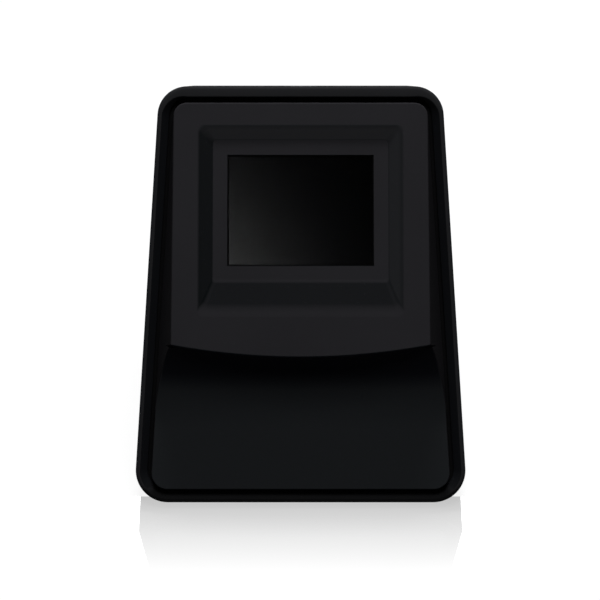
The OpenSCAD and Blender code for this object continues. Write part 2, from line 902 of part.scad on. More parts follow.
module image_sensor() {
    color([0.25, 0.25, 0.3]) translate([0, gate_y, tower_top + sensor_gap - 1.1])
        linear_extrude(1.1) square(8.6, center = true);
}

module sensor_screws() {
    color("silver") for (x = [-1, 1]) for (y = [-1, 1])
        translate([x * sensor_screw_x, gate_y + y * sensor_screw_y,
            tower_top + sensor_gap + board_t]) screw(board_screw_l);
}

// ---- main board ----

module main_board() {
    color([0.1, 0.35, 0.2]) difference() {
        translate([-main_w / 2, main_front, main_z])
            cube([main_w, main_back - main_front, board_t]);
        for (x = [-1, 1]) for (y = [main_front + 3, deck_back - 3])
            translate([x * main_post_x, y, main_z - 1]) cylinder(r = hole_r, h = 5);
    }
}

module board_screws() {
    color("silver") for (x = [-1, 1]) for (y = [main_front + 3, deck_back - 3])
        translate([x * main_post_x, y, main_z + board_t]) screw(board_screw_l);
}

module board_chips() {
    middle = (main_front + main_back) / 2;
    color([0.1, 0.1, 0.1]) translate([0, middle, main_z + board_t]) {
        translate([3, 1, 0]) linear_extrude(1.4) square(14, center = true);
        translate([17, 0, 0]) linear_extrude(1.1) square([10, 14], center = true);
        translate([-24, -5, 0]) linear_extrude(1.6) square([7, 5], center = true);
        for (x = [-16, -11]) translate([x, -6, 0]) cylinder(r = 2, h = 5.4);
    }
}

module usb_socket() {
    color("silver") translate([usb_x, socket_mouth - usb_d / 2, main_z + board_t + usb_h / 2])
        difference() {
            cube([usb_w, usb_d, usb_h], center = true);
            translate([0, 2, 0]) cube([usb_w - 0.8, usb_d, usb_h - 0.8], center = true);
        }
}

module av_jack() {
    color([0.1, 0.1, 0.1]) translate([av_x, 0, main_z + board_t + av_w / 2]) difference() {
        union() {
            translate([0, back_y - wall - 0.3 - av_d / 2, 0])
                cube([av_w, av_d, av_w], center = true);
            translate([0, socket_mouth, 0]) rotate([90, 0, 0]) cylinder(r = av_r, h = 4);
        }
        translate([0, socket_mouth + 1, 0]) rotate([90, 0, 0]) cylinder(r = 1.3, h = 11);
    }
}

module sd_socket() {
    color([0.7, 0.72, 0.75]) translate([sd_x, socket_mouth, main_z - sd_h]) difference() {
        translate([-sd_w / 2, -sd_d, 0]) cube([sd_w, sd_d, sd_h]);
        translate([-sd_w / 2 + 1.5, -sd_d + 2, 0.4]) cube([sd_w - 3, sd_d, sd_h - 0.8]);
    }
}

// ---- buttons ----

module button_board() {
    color([0.1, 0.35, 0.2]) on_top() difference() {
        translate([0, 0, -button_board_n - board_t])
            rounded_box(button_board_w, button_board_d, board_t, 2);
        for (x = [-1, 1]) for (b = [-1, 1])
            translate([x * button_post_x, b * button_post_b, -button_board_n - 3])
                cylinder(r = hole_r, h = 6);
    }
}

module button_board_screws() {
    color("silver") on_top() for (x = [-1, 1]) for (b = [-1, 1])
        translate([x * button_post_x, b * button_post_b, -button_board_n - board_t])
            rotate([180, 0, 0]) screw(board_screw_l);
}

module tact_switches() {
    color([0.2, 0.2, 0.2]) on_top() for (x = button_xs) translate([x, 0, -button_board_n]) {
        linear_extrude(switch_t) square(switch_w, center = true);
        cylinder(r = 1.7, h = switch_t + 0.5);
    }
}

module button_stem(width) {
    translate([0, 0, -wall - fit - flange_t])
        cylinder(r = width / 2 + flange, h = flange_t);
    translate([0, 0, -stem_end]) cylinder(r = stem_r, h = stem_end);
}

module round_button(x, d) {
    on_top() translate([x, 0, 0]) {
        translate([0, 0, -wall - fit - flange_t])
            cylinder(r = d / 2, h = wall + fit + flange_t + button_height);
        button_stem(d);
    }
}

module step_button(x) {
    on_top() translate([x, 0, 0]) {
        translate([0, 0, -wall - fit - flange_t])
            rounded_box(step_w, step_d, wall + fit + flange_t + button_height, 1.5);
        translate([0, 0, -wall - fit - flange_t])
            rounded_box(step_w + 2 * flange, step_d + 2 * flange, flange_t, 1.5);
        translate([0, 0, -stem_end]) cylinder(r = stem_r, h = stem_end);
    }
}

module power_button() { color([0.2, 0.2, 0.22]) round_button(button_xs[0], round_d); }
module previous_button() { color([0.2, 0.2, 0.22]) step_button(button_xs[1]); }
module ok_button() { color([0.3, 0.3, 0.32]) round_button(button_xs[2], ok_d); }
module next_button() { color([0.2, 0.2, 0.22]) step_button(button_xs[3]); }
module mode_button() { color([0.2, 0.2, 0.22]) round_button(button_xs[4], round_d); }

// ---- film detent ----

module at_detent() {
    translate([detent_x, detent_y, detent_z]) rotate([-90, 0, 0]) children();
}

module detent_barrel() {
    color("silver") at_detent() difference() {
        translate([0, 0, 0.3]) cylinder(r = barrel_r, h = barrel_end + 0.7);
        translate([0, 0, -1]) cylinder(r = pin_r + slide, h = gate_t + neck_t + 1);
        translate([0, 0, neck_t + 0.3])
            cylinder(r = collar_r + slide, h = barrel_end - neck_t - 0.3);
    }
}

module detent_pin() {
    color("gold") at_detent() {
        translate([0, 0, -detent_reach + pin_r]) {
            sphere(pin_r);
            cylinder(r = pin_r, h = detent_reach - pin_r + neck_t + 0.3 + slide + collar_t);
        }
        translate([0, 0, neck_t + 0.3 + slide]) cylinder(r = collar_r, h = collar_t);
    }
}

module detent_spring() {
    start = neck_t + 0.3 + slide + collar_t + spring_wire;
    length = barrel_end - start - spring_wire;
    mid_r = collar_r - spring_wire - 0.1;
    steps = spring_turns * 12;
    sides = 6;
    points = [for (i = [0:steps]) for (j = [0:sides - 1])
        let (a = 360 * spring_turns * i / steps, b = 360 * j / sides,
            r = mid_r + spring_wire * cos(b))
        [r * cos(a), r * sin(a), start + length * i / steps + spring_wire * sin(b)]];
    walls = [for (i = [0:steps - 1]) for (j = [0:sides - 1])
        let (k = (j + 1) % sides)
        [i * sides + j, i * sides + k, (i + 1) * sides + k, (i + 1) * sides + j]];
    first = [for (j = [sides - 1:-1:0]) j];
    last = [for (j = [0:sides - 1]) steps * sides + j];
    color("silver") at_detent() polyhedron(points, concat(walls, [first, last]));
}

// ---- ribbons and cable ----

module lcd_ribbon() {
    v = -window_drop - lcd_h / 2;
    color([0.8, 0.5, 0.15]) translate([lcd_ribbon_x, 0, 0])
        ribbon([face_point(v - 0.2, -lcd_top_w - lcd_t / 2), face_point(v - 3, -lcd_top_w - lcd_t / 2),
            face_point(v - 2.5, -bracket_w - bracket_t - 3), [gate_y, tower_top - 8],
            [main_front + 4, main_z + board_t + 0.4], [main_front + 8, main_z + board_t + 0.2]],
            lcd_ribbon_w, ribbon_t);
}

module sensor_ribbon() {
    y = gate_y + sensor_d / 2;
    top = tower_top + sensor_gap + board_t + 0.2;
    color([0.8, 0.5, 0.15])
        ribbon([[y - 5, top], [y + 2, top], [y + 5, tower_top], [main_front + 3, main_z + 8],
            [main_front + 3, main_z + board_t + 0.3], [main_front + 4.8, main_z + board_t + 0.2]],
            sensor_ribbon_w, ribbon_t);
}

module button_ribbon() {
    start = front_point(front_length - button_board_n - board_t / 2,
        -button_back - button_board_d / 2 - 0.2);
    color([0.8, 0.5, 0.15]) translate([button_ribbon_x, 0, 0])
        ribbon([start, start + [3, -1], [main_back - 7, start[1] - 14], [main_back - 7, main_z + 14],
            [main_back - 10, main_z + board_t + 0.3]], button_ribbon_w, ribbon_t);
}

module light_cable() {
    y = gate_y + light_d / 2 - 1;
    low = light_board_z + board_t + cable_r + 0.1;
    high = main_z + board_t + cable_r + 0.2;
    path = [[-light_screw_x - 1, y, low], [-cable_x, y, low], [-cable_x, main_back - 12, low],
        [-cable_x, main_back - 12, high], [-cable_x, main_back - 18, high],
        [-main_w / 2 + 4, main_back - 18, high]];
    color([0.15, 0.15, 0.15]) for (i = [0:4]) {
        run = path[i + 1] - path[i];
        translate(path[i]) rotate([0, acos(run[2] / norm(run)), atan2(run[1], run[0])])
            cylinder(r = cable_r, h = norm(run));
        translate(path[i + 1]) sphere(cable_r * 1.15);
    }
}

rear_housing();
front_frame();
front_cover();
base_plate();
rubber_feet();
base_screws();
cover_screws();
screen_window();
lcd_panel();
lcd_light_unit();
lcd_bracket();
lcd_screws();
lower_gate();
upper_gate();
gate_screws();
roof_screws();
light_box();
diffuser();
light_board();
light_leds();
light_screws();
camera_tower();
tower_screws();
lens_holder();
lens_barrel();
lens_glass();
sensor_board();
image_sensor();
sensor_screws();
main_board();
board_chips();
board_screws();
usb_socket();
av_jack();
sd_socket();
button_board();
tact_switches();
button_board_screws();
power_button();
previous_button();
ok_button();
next_button();
mode_button();
detent_barrel();
detent_pin();
detent_spring();
lcd_ribbon();
sensor_ribbon();
button_ribbon();
light_cable();
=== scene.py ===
"""Desktop film negative scanner: shells, display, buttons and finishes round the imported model."""

import math

import bmesh
import bpy
from bpy.props import FloatProperty, FloatVectorProperty, PointerProperty
from bpy.types import Operator, Panel, PropertyGroup
from mathutils import Matrix, Quaternion, Vector


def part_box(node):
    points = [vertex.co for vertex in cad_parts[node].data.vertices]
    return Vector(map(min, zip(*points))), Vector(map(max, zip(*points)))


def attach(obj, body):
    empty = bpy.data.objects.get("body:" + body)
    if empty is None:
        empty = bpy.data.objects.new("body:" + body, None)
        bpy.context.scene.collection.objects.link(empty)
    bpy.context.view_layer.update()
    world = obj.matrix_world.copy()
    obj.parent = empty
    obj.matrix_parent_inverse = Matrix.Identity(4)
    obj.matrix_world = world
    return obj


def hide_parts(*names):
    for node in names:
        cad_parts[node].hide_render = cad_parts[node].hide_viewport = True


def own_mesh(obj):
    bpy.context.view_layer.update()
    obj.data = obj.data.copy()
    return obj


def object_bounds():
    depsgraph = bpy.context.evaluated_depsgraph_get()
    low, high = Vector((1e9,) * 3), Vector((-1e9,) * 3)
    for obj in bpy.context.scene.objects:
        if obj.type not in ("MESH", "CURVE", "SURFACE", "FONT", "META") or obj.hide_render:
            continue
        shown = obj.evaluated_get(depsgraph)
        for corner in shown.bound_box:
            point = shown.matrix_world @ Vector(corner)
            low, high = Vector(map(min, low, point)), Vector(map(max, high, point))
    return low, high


bl_info = {
    "name": "Film negative scanner",
    "version": (1, 0, 0),
    "blender": (4, 5, 0),
    "location": "3D View > Sidebar > Scanner",
    "description": "Builds the visible pieces and finishes of a desktop film negative scanner",
    "category": "Object",
}

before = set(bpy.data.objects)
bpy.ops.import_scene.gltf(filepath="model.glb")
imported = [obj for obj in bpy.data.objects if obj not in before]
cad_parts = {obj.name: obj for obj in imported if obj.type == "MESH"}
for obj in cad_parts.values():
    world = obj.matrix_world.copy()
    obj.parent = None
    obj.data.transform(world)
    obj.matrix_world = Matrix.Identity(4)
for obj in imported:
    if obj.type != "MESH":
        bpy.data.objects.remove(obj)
CAD_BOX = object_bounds()
MM = 0.001

# lengths in metres that several pieces share
REACH = 0.2  # of a cutter that goes past everything
THROUGH = 10 * MM  # of a cutter that goes through the cover's face
WELD = 0.002 * MM  # between points that become one
OVERLAP = 0.05 * MM  # of pieces that are joined
FIT = 0.2 * MM  # gap between the frame's tongue and the housing
TONGUE_LENGTH, TONGUE_THICK = 3 * MM, 1.4 * MM  # of the frame, inside the housing
LEDGE_INSET, LEDGE_THICK = 8.6 * MM, 2 * MM  # of the frame, under the cover
RECESS_FLOOR, RECESS_WALL = 1.8 * MM, 1.6 * MM  # thickness of the recess, behind and beside
SCREW_HEAD = 1.3 * MM  # height of a screw's head


# ---- sizes and colours ----


def length(name, description, size):
    """A length property, its default given in millimetres."""
    return FloatProperty(
        name=name, description=description, default=size * MM, unit="LENGTH", precision=5
    )


def angle(name, description, degrees):
    """An angle property, its default given in degrees."""
    return FloatProperty(
        name=name, description=description, default=math.radians(degrees), subtype="ANGLE"
    )


def colour(name, description, red, green, blue):
    """A colour property."""
    return FloatVectorProperty(
        name=name, description=description, default=(red, green, blue), subtype="COLOR",
        min=0, max=1
    )


class ScannerFront(PropertyGroup):
    """Sizes of the front frame and of the housing behind it."""

    length: length("Front length", "Length of the front along its slope", 142)
    bottom: length("Bottom width", "Width of the front at its bottom", 114.5)
    top: length("Top width", "Width of the front at its top", 95)
    depth: length("Depth", "Depth of the body from front to back", 115)
    recline: angle("Recline", "How far the front leans back from upright", 25)
    top_corner: length("Top corners", "Corner radius of the front at the top", 10)
    bottom_corner: length("Bottom corners", "Corner radius of the front at the bottom", 11)
    foot: length("Foot height", "Height of the rubber feet", 1.5)
    plate: length("Base plate", "Thickness of the base plate", 2)
    rim: length("Rim height", "Height of the rim over the parting plane", 1.5)
    edge: length("Rim edge", "Radius of the rim's outer edge", 1.2)
    wall: length("Wall", "Wall thickness of the housing", 2.4)
    lift: length("Frame lift", "Height of the frame's lower edge over the housing's", 1.3)
    rim_width: length("Rim width", "Width of the rim with its inner slope", 3.9)
    rim_drop: length("Rim drop", "Drop of the rim's inner slope", 2.3)
    rim_spread: length("Rim spread", "How much wider the rim's flat is along the top", 1.9)
    frame_depth: length("Frame depth", "Depth of the frame behind the parting plane", 9.5)
    ledge: length("Ledge", "Height of the ledge that carries the cover", -2.6)
    button_back: length("Button line", "Distance of the buttons behind the parting plane", 24)
    button_pitch: length("Button spacing", "Spacing of the buttons", 16.5)


class ScannerCover(PropertyGroup):
    """Sizes of the front cover and of the opening for the display."""

    inset: length("Inset", "Distance of the cover from the front's outline", 5.5)
    lower: length("Lower edge", "How much nearer to the rim the cover's lower edge is", 0.6)
    wall: length("Wall", "Wall thickness of the cover", 2.2)
    apron: length("Panel height", "Height of the lower panel over the parting plane", 3)
    tilt: angle("Tilt", "Tilt of the display face against the front", 10.5)
    face_length: length("Face length", "Length of the display face down to its lip", 85)
    flare: FloatProperty(
        name="Flare", description="How much the face widens towards its lip", default=0.008
    )
    lip_radius: length("Lip radius", "Radius of the curved lip", 237)
    scoop_start: length("Scoop start", "Height up the front where the scoop starts", 25.8)
    scoop_radius: length("Scoop radius", "Radius of the scoop under the lip", 40)
    recess_width: length("Recess width", "Width of the recess at the face", 67.4)
    recess_floor: length("Recess floor", "Width of the flat frame round the window", 59)
    recess_top: length("Recess top", "Distance from the top of the face to the recess", 7.8)
    recess_height: length("Recess height", "Height of the recess at the face", 62)
    recess_depth: length("Recess depth", "Depth of the recess", 2.6)
    slope_top: length("Upper slope", "Width of the recess's upper slope", 3.9)
    slope_bottom: length("Lower slope", "Width of the recess's lower slope", 10.4)
    window_width: length("Window width", "Width of the window", 49)
    window_height: length("Window height", "Height of the window", 37.3)
    window_drop: length("Window drop", "From the top of the face to the window's middle", 35.6)
    pane_width: length("Pane width", "Width of the rebate for the pane", 52.6)
    pane_height: length("Pane height", "Height of the rebate for the pane", 40.4)
    pane_drop: length("Pane drop", "From the top of the face to the pane's middle", 36.2)


class ScannerColours(PropertyGroup):
    """Colours of the finishes."""

    body: colour("Body", "Black plastic of the shells", 0.0135, 0.0137, 0.0148)
    # Painted shade: bluish cast on the frame's sideways faces.
    rim_side_painted_shade: colour("Rim sides", "Outer sides of the front frame", 0.0133, 0.0146, 0.0175)
    # Painted shade: darkness in the groove and along the lowest edge.
    groove: colour("Groove", "Groove beside the cover, and the lowest edge", 0.001, 0.001, 0.001)
    cover: colour("Cover", "Black plastic of the front cover", 0.0140, 0.0137, 0.0154)
    # Painted light: a lighter, greener copy of the cover's colour for the lower panel.
    panel: colour("Panel", "Lower panel of the cover", 0.0139, 0.0153, 0.0168)
    # Painted shadow under the lip.
    scoop: colour("Scoop", "Scoop under the lip", 0.0002, 0.0002, 0.0025)
    # Painted shade and painted reflection for the recess slopes.
    slope_painted_shade: colour("Deep slopes", "Slopes of the recess that face up", 0.0015, 0.0021, 0.0024)
    slope_painted_light: colour("Pale slopes", "Slopes that face down", 0.03876, 0.03876, 0.04233)
    rubber: colour("Rubber", "Feet", 0.012, 0.012, 0.012)
    gate: colour("Film gate", "Matt black plastic round the film", 0.02, 0.02, 0.021)
    tower: colour("Tower", "Matt black plastic of the camera", 0.01, 0.01, 0.011)
    socket: colour("Sockets", "Black plastic of the sockets", 0.012, 0.012, 0.012)
    cable: colour("Cable", "Sheath of the cable", 0.015, 0.015, 0.015)
    board: colour("Circuit board", "Solder mask", 0.012, 0.10, 0.035)
    button: colour("Buttons", "Dark grey button caps", 0.035, 0.036, 0.040)
    ok_button: colour("Middle button", "Silver grey middle button", 0.23, 0.24, 0.26)
    opal: colour("Diffuser", "Opal plastic over the backlight", 0.80, 0.80, 0.78)


# ---- shader maths ----


def maths(operation, reflected=False):
    """A method of Shade that adds a Math node, with the value as its first or last input."""

    def method(self, *others):
        values = (*others, self) if reflected else (self, *others)
        settings = {"operation": operation}
        return self.finish.node("ShaderNodeMath", settings, dict(enumerate(values)))

    return method


class Shade:
    """A value inside a finish. Arithmetic on it adds Math nodes."""

    def __init__(self, finish, socket):
        self.finish = finish
        self.socket = socket

    __add__ = __radd__ = maths("ADD")
    __sub__, __rsub__ = maths("SUBTRACT"), maths("SUBTRACT", reflected=True)
    __mul__ = __rmul__ = maths("MULTIPLY")
    __truediv__, __rtruediv__ = maths("DIVIDE"), maths("DIVIDE", reflected=True)
    over = maths("GREATER_THAN")  # 1 where the value is over the limit, else 0
    size = maths("ABSOLUTE")
    at_most = maths("MINIMUM")
    at_least = maths("MAXIMUM")

    def ramp(self, start, rate=1.0, most=1.0):
        """0 up to a start, and from there growing at a rate, up to a most. A rate under 0
        makes it grow downwards from the start."""
        return ((self - start) * rate).at_least(0).at_most(most)


class Finish:
    """The node tree of a material or of a world, built from plain calls."""

    def __init__(self, name, world=False):
        self.made = (bpy.data.worlds if world else bpy.data.materials).new(name)
        self.made.use_nodes = True
        self.tree = self.made.node_tree
        self.tree.nodes.clear()
        kind = "ShaderNodeOutputWorld" if world else "ShaderNodeOutputMaterial"
        self.output = self.tree.nodes.new(kind)

    def node(self, kind, settings=None, inputs=None, output=0):
        """Adds a node, sets it up, joins its inputs, and gives back one of its outputs, or
        those that a tuple names."""
        made = self.tree.nodes.new(kind)
        for key, value in (settings or {}).items():
            setattr(made, key, value)
        for key, value in (inputs or {}).items():
            self.join(value, made.inputs[key])
        if isinstance(output, tuple):
            return [Shade(self, made.outputs[key]) for key in output]
        return Shade(self, made.outputs[output])

    def join(self, value, socket):
        """Links a socket to a value of the finish, or sets it."""
        if isinstance(value, Shade):
            self.tree.links.new(value.socket, socket)
        elif socket.type == "RGBA":
            socket.default_value = (*value, 1)
        else:
            socket.default_value = value

    def place(self):
        """Position on the piece, in metres."""
        return self.node("ShaderNodeTexCoord", output="Object")

    def facing(self):
        """X, Y and Z of the way that the surface faces."""
        return self.parts(self.node("ShaderNodeTexCoord", output="Normal"))

    def parts(self, place):
        """X, Y and Z of a position."""
        return self.node("ShaderNodeSeparateXYZ", None, {0: place}, (0, 1, 2))

    def noise(self, grain, detail=2):
        """Soft random value from 0 to 1, its grain in metres."""
        return self.node(
            "ShaderNodeTexNoise", None,
            {"Vector": self.place(), "Scale": 1 / grain, "Detail": detail},
        )

    def bands(self, width, way="X", **inputs):
        """Waves from 0 to 1 across a piece, their width in metres."""
        return self.node(
            "ShaderNodeTexWave",
            {"wave_type": "BANDS", "bands_direction": way, "wave_profile": "SIN"},
            {"Vector": self.place(), "Scale": 1 / width, **inputs},
        )

    def mix(self, share, first, second):
        """Mix of two colours."""
        return self.node(
            "ShaderNodeMix", {"data_type": "RGBA"}, {0: share, 6: first, 7: second}, output=2
        )

    def blend(self, share, first, second):
        """Mix of two shaders."""
        return self.node("ShaderNodeMixShader", None, {0: share, 1: first, 2: second})

    def bump(self, height, depth, strength=1.0):
        """Normal of a surface raised by a height from 0 to 1, its depth in metres."""
        inputs = {"Strength": strength, "Distance": depth, "Height": height}
        return self.node("ShaderNodeBump", None, inputs)

    def surface(self, shader):
        """Ends the tree with a shader, and gives back the material or the world."""
        self.join(shader, self.output.inputs["Surface"])
        return self.made

    def principled(self, **inputs):
        """Ends the tree with the main shader. Underscores in its inputs' names mean spaces."""
        named = {key.replace("_", " "): value for key, value in inputs.items()}
        return self.surface(self.node("ShaderNodeBsdfPrincipled", None, named))


# ---- finishes ----


def lighter(shade, factor):
    """A colour made lighter or darker."""
    return tuple(min(1.0, value * factor) for value in shade)


def moulded_plastic(name, shade, roughness=0.5, grain=0.35 * MM, depth=0.02 * MM, shine=0.004,
                    sides=1.0, painted_shading=None):
    """Moulded plastic with a fine satin grain, faint flow marks and a few specks of dust.

    sides is how light it is where it faces sideways: a painted shade on those faces. A last
    function, if given, paints more light and shade into its colour."""
    finish = Finish(name)
    fine = finish.noise(grain, 1)
    broad = finish.noise(25 * MM, 3)
    dust = finish.noise(0.6 * MM, 0).ramp(0.78, 8, 0.15)
    base = finish.mix(broad, lighter(shade, 0.9), lighter(shade, 1.1))
    # Painted shade: darker where the surface faces sideways.
    if sides < 1:
        base = finish.mix(finish.facing()[0].size().ramp(0.5, 4), base, lighter(shade, sides))
    # Painted light and shade, where the piece gives a function for it.
    if painted_shading:
        base = painted_shading(finish, base)
    return finish.principled(
        Base_Color=finish.mix(dust, base, lighter(shade, 2.2)),
        Roughness=roughness + (broad - 0.5) * 0.12 + (fine - 0.5) * 0.1,
        Normal=finish.bump(fine, depth, 0.6),
        Specular_IOR_Level=shine,
    )


def rim_painted_shade(form, colours):
    """Painted shade for the frame: a bluish shade painted on its sides, and darkness painted on
    its lowest edge and in the groove beside the cover with the slopes that lead into it."""
    origin, axes = form.front.translation, form.front.to_3x3()
    low_start, low_fade, groove_fade, inner_reach = 9 * MM, 4 * MM, 1.5 * MM, 50 * MM

    def painted_shading(finish, base):
        x, y, z = finish.parts(finish.place())
        face_x, face_y, face_z = finish.facing()
        height = (y - origin.y) * axes[1][2] + (z - origin.z) * axes[2][2]
        ahead = (face_y * axes[1][2] + face_z * axes[2][2]).over(0.5)
        # Painted shade: darkness in the groove below the rim, on the rim's inward-facing slopes,
        # and along the frame's lowest edge.
        deep = (height / -groove_fade).ramp(0.2, most=0.75) * ahead
        inward_shade = (face_x * x / -inner_reach).ramp(0.35, most=0.2) * 3
        low = z.ramp(low_start, -1 / low_fade, 0.6)
        # Painted shade colour: a bluish cast on the faces that turn sideways.
        base = finish.mix(face_x.size().ramp(0.4, 3), base, colours.rim_side_painted_shade)
        return finish.mix(deep.at_least(inward_shade).at_least(low), base, colours.groove)

    return painted_shading


def cover_painted_light_and_shade(form, colours):
    """Painted light and shade for the cover: its lower panel painted lighter, a painted shadow in
    the scoop under the lip, and the recess slopes painted deeper where they face up (painted
    shade) and paler where they face down (painted reflection)."""
    cover = form.cover
    origin, axes = form.face.translation, form.face.to_3x3()
    margin = 1.5 * MM

    def painted_shading(finish, base):
        x, y, z = finish.parts(finish.place())
        face_x, face_y, face_z = finish.facing()
        # Painted light: the lower panel, which faces less upwards than the face, gets a lighter,
        # greener colour.
        panel = face_z.ramp(0.5, -12) * (1 - face_x.size().ramp(0.4, 5))
        # Painted shadow: nearly black where the surface faces down, as under the lip.
        scoop = face_z.ramp(0.08, -3.6, 0.6)
        base = finish.mix(scoop, finish.mix(panel, base, colours.panel), colours.scoop)
        v = (y - origin.y) * axes[1][1] + (z - origin.z) * axes[2][1] + cover.recess_top
        within = ((cover.recess_width / 2 + margin - x.size()).over(0) * (margin - v).over(0)
                  * (v + cover.recess_height + margin).over(0))
        aligned = face_y * axes[1][2] + face_z * axes[2][2]
        # Painted shade and painted reflection on the recess slopes: deeper where they face up or to
        # the right, paler where they face down or to the left.
        sloping = aligned.ramp(0.995, -30) * within
        down = 0.9 - face_z
        pale = (down * down * 0.93 + face_x.size() * 0.1 - face_x * 0.19).ramp(0)
        slope = finish.mix(pale, colours.slope_painted_shade, colours.slope_painted_light)
        return finish.mix(sloping, base, slope)

    return painted_shading


def ink(name, grey, depth=0.003 * MM):
    """Printed or inlaid marks."""
    return moulded_plastic(name, (grey, grey, grey), 0.5, 0.2 * MM, depth, 0.3)


def rubber(name, shade):
    """Matt rubber with a dusty, slightly mottled skin."""
    finish = Finish(name)
    dust = finish.noise(1.5 * MM, 4)
    return finish.principled(
        Base_Color=finish.mix(dust, lighter(shade, 0.8), lighter(shade, 1.9)),
        Roughness=0.75 + dust * 0.15,
        Normal=finish.bump(dust, 0.03 * MM, 0.5),
        Specular_IOR_Level=0.2,
    )


def plated_steel(name, shade=(0.55, 0.55, 0.56), roughness=0.28, grain=0.4 * MM):
    """Plated metal with faint blotches and fine scratches."""
    finish = Finish(name)
    blotch = finish.noise(grain * 4, 4)
    streak = finish.noise(grain, 2)
    return finish.principled(
        Base_Color=finish.mix(blotch, lighter(shade, 0.82), lighter(shade, 1.12)),
        Metallic=1.0,
        Roughness=roughness + (blotch - 0.5) * 0.2 + (streak - 0.5) * 0.08,
        Normal=finish.bump(streak, 0.006 * MM, 0.5),
    )


def circuit_board(name, shade):
    """Solder mask over copper tracks, with a fine glass weave under it."""
    finish = Finish(name)
    patch = finish.noise(7 * MM, 0).over(0.5)
    along_x, along_y = (finish.bands(6.4 * MM, way).over(0.72) for way in "XY")
    track = along_x * patch + along_y * (1 - patch)
    pads = finish.node(
        "ShaderNodeTexVoronoi", None,
        {"Vector": finish.place(), "Scale": 1 / (3.4 * MM), "Randomness": 0.6},
    )
    tin = 1 - pads.over(0.14)
    weave = finish.noise(0.25 * MM, 1)
    mask = finish.mix(track, shade, lighter(shade, 2.0))
    return finish.principled(
        Base_Color=finish.mix(tin, mask, (0.55, 0.52, 0.42)),
        Metallic=tin * 0.9,
        Roughness=0.38 - tin * 0.12 + (weave - 0.5) * 0.08,
        Normal=finish.bump(track + tin * 0.6 + weave * 0.1, 0.03 * MM, 0.6),
        Specular_IOR_Level=0.4,
    )


def white_reflector(name):
    """Matt white plastic of the light box."""
    return moulded_plastic(name, (0.72, 0.72, 0.70), 0.7, 0.4 * MM, 0.02 * MM, 0.3)


def clouded(name, first, second, roughness, spread, grain, detail=3, **more):
    """Plain finish whose colour and roughness change in soft clouds."""
    finish = Finish(name)
    cloud = finish.noise(grain, detail)
    return finish.principled(
        Base_Color=finish.mix(cloud, first, second), Roughness=roughness + cloud * spread, **more
    )


def opal_plastic(name, shade):
    """Milky diffuser plastic."""
    return clouded(name, lighter(shade, 0.95), lighter(shade, 1.05), 0.3, 0.15, 6 * MM,
                   Subsurface_Weight=0.2, Subsurface_Scale=4 * MM)


def cast_resin(name):
    """Yellow phosphor in a clear resin block."""
    return clouded(name, (0.78, 0.62, 0.16), (0.85, 0.74, 0.32), 0.2, 0.1, 0.6 * MM, 2,
                   Coat_Weight=0.5)


def coated_glass(name):
    """Lens glass with a faint blue coating."""
    return clouded(name, (0.02, 0.03, 0.07), (0.03, 0.045, 0.09), 0.04, 0.02, 3 * MM, 1,
                   Coat_Weight=1.0)


def display_glass(name):
    """Dark display behind a haze film, switched off."""
    return clouded(name, (0.0004, 0.0004, 0.0005), (0.0007, 0.0007, 0.0008), 0.25, 0.1, 8 * MM,
                   Specular_IOR_Level=0.0)


def silicon(name):
    """Sensor die under its cover glass, with a rainbow shimmer."""
    finish = Finish(name)
    lines = finish.bands(1.2 * MM, Distortion=1.0)
    return finish.principled(
        Base_Color=finish.mix(lines, (0.05, 0.09, 0.07), (0.11, 0.07, 0.13)),
        Roughness=0.12 + lines * 0.05,
        Metallic=0.4,
        Coat_Weight=1.0,
    )


def ribbon_film(name):
    """Amber film with fine copper lines along it."""
    finish = Finish(name)
    track = finish.bands(3.2 * MM).over(0.5)
    return finish.principled(
        Base_Color=finish.mix(track, (0.35, 0.15, 0.03), (0.62, 0.30, 0.06)),
        Roughness=0.3 + track * 0.1,
        Metallic=track * 0.3,
    )


def clear_window(name):
    """Clear pane: see-through, with a plain gloss on its faces."""
    finish = Finish(name)
    smear = finish.noise(12 * MM, 3)
    fresnel = finish.node("ShaderNodeFresnel", None, {"IOR": 1.45})
    gloss = finish.node(
        "ShaderNodeBsdfGlossy", {"distribution": "BECKMANN"},
        {"Color": (1, 1, 1), "Roughness": 0.2},
    )
    clear = finish.node("ShaderNodeBsdfTransparent", None, {"Color": (0.93, 0.94, 0.95)})
    return finish.surface(finish.blend(fresnel * (0.98 + smear * 0.04), clear, gloss))


# ---- form of the body ----


def turn_x(radians):
    """Turn about the X axis."""
    return Matrix.Rotation(radians, 4, "X")


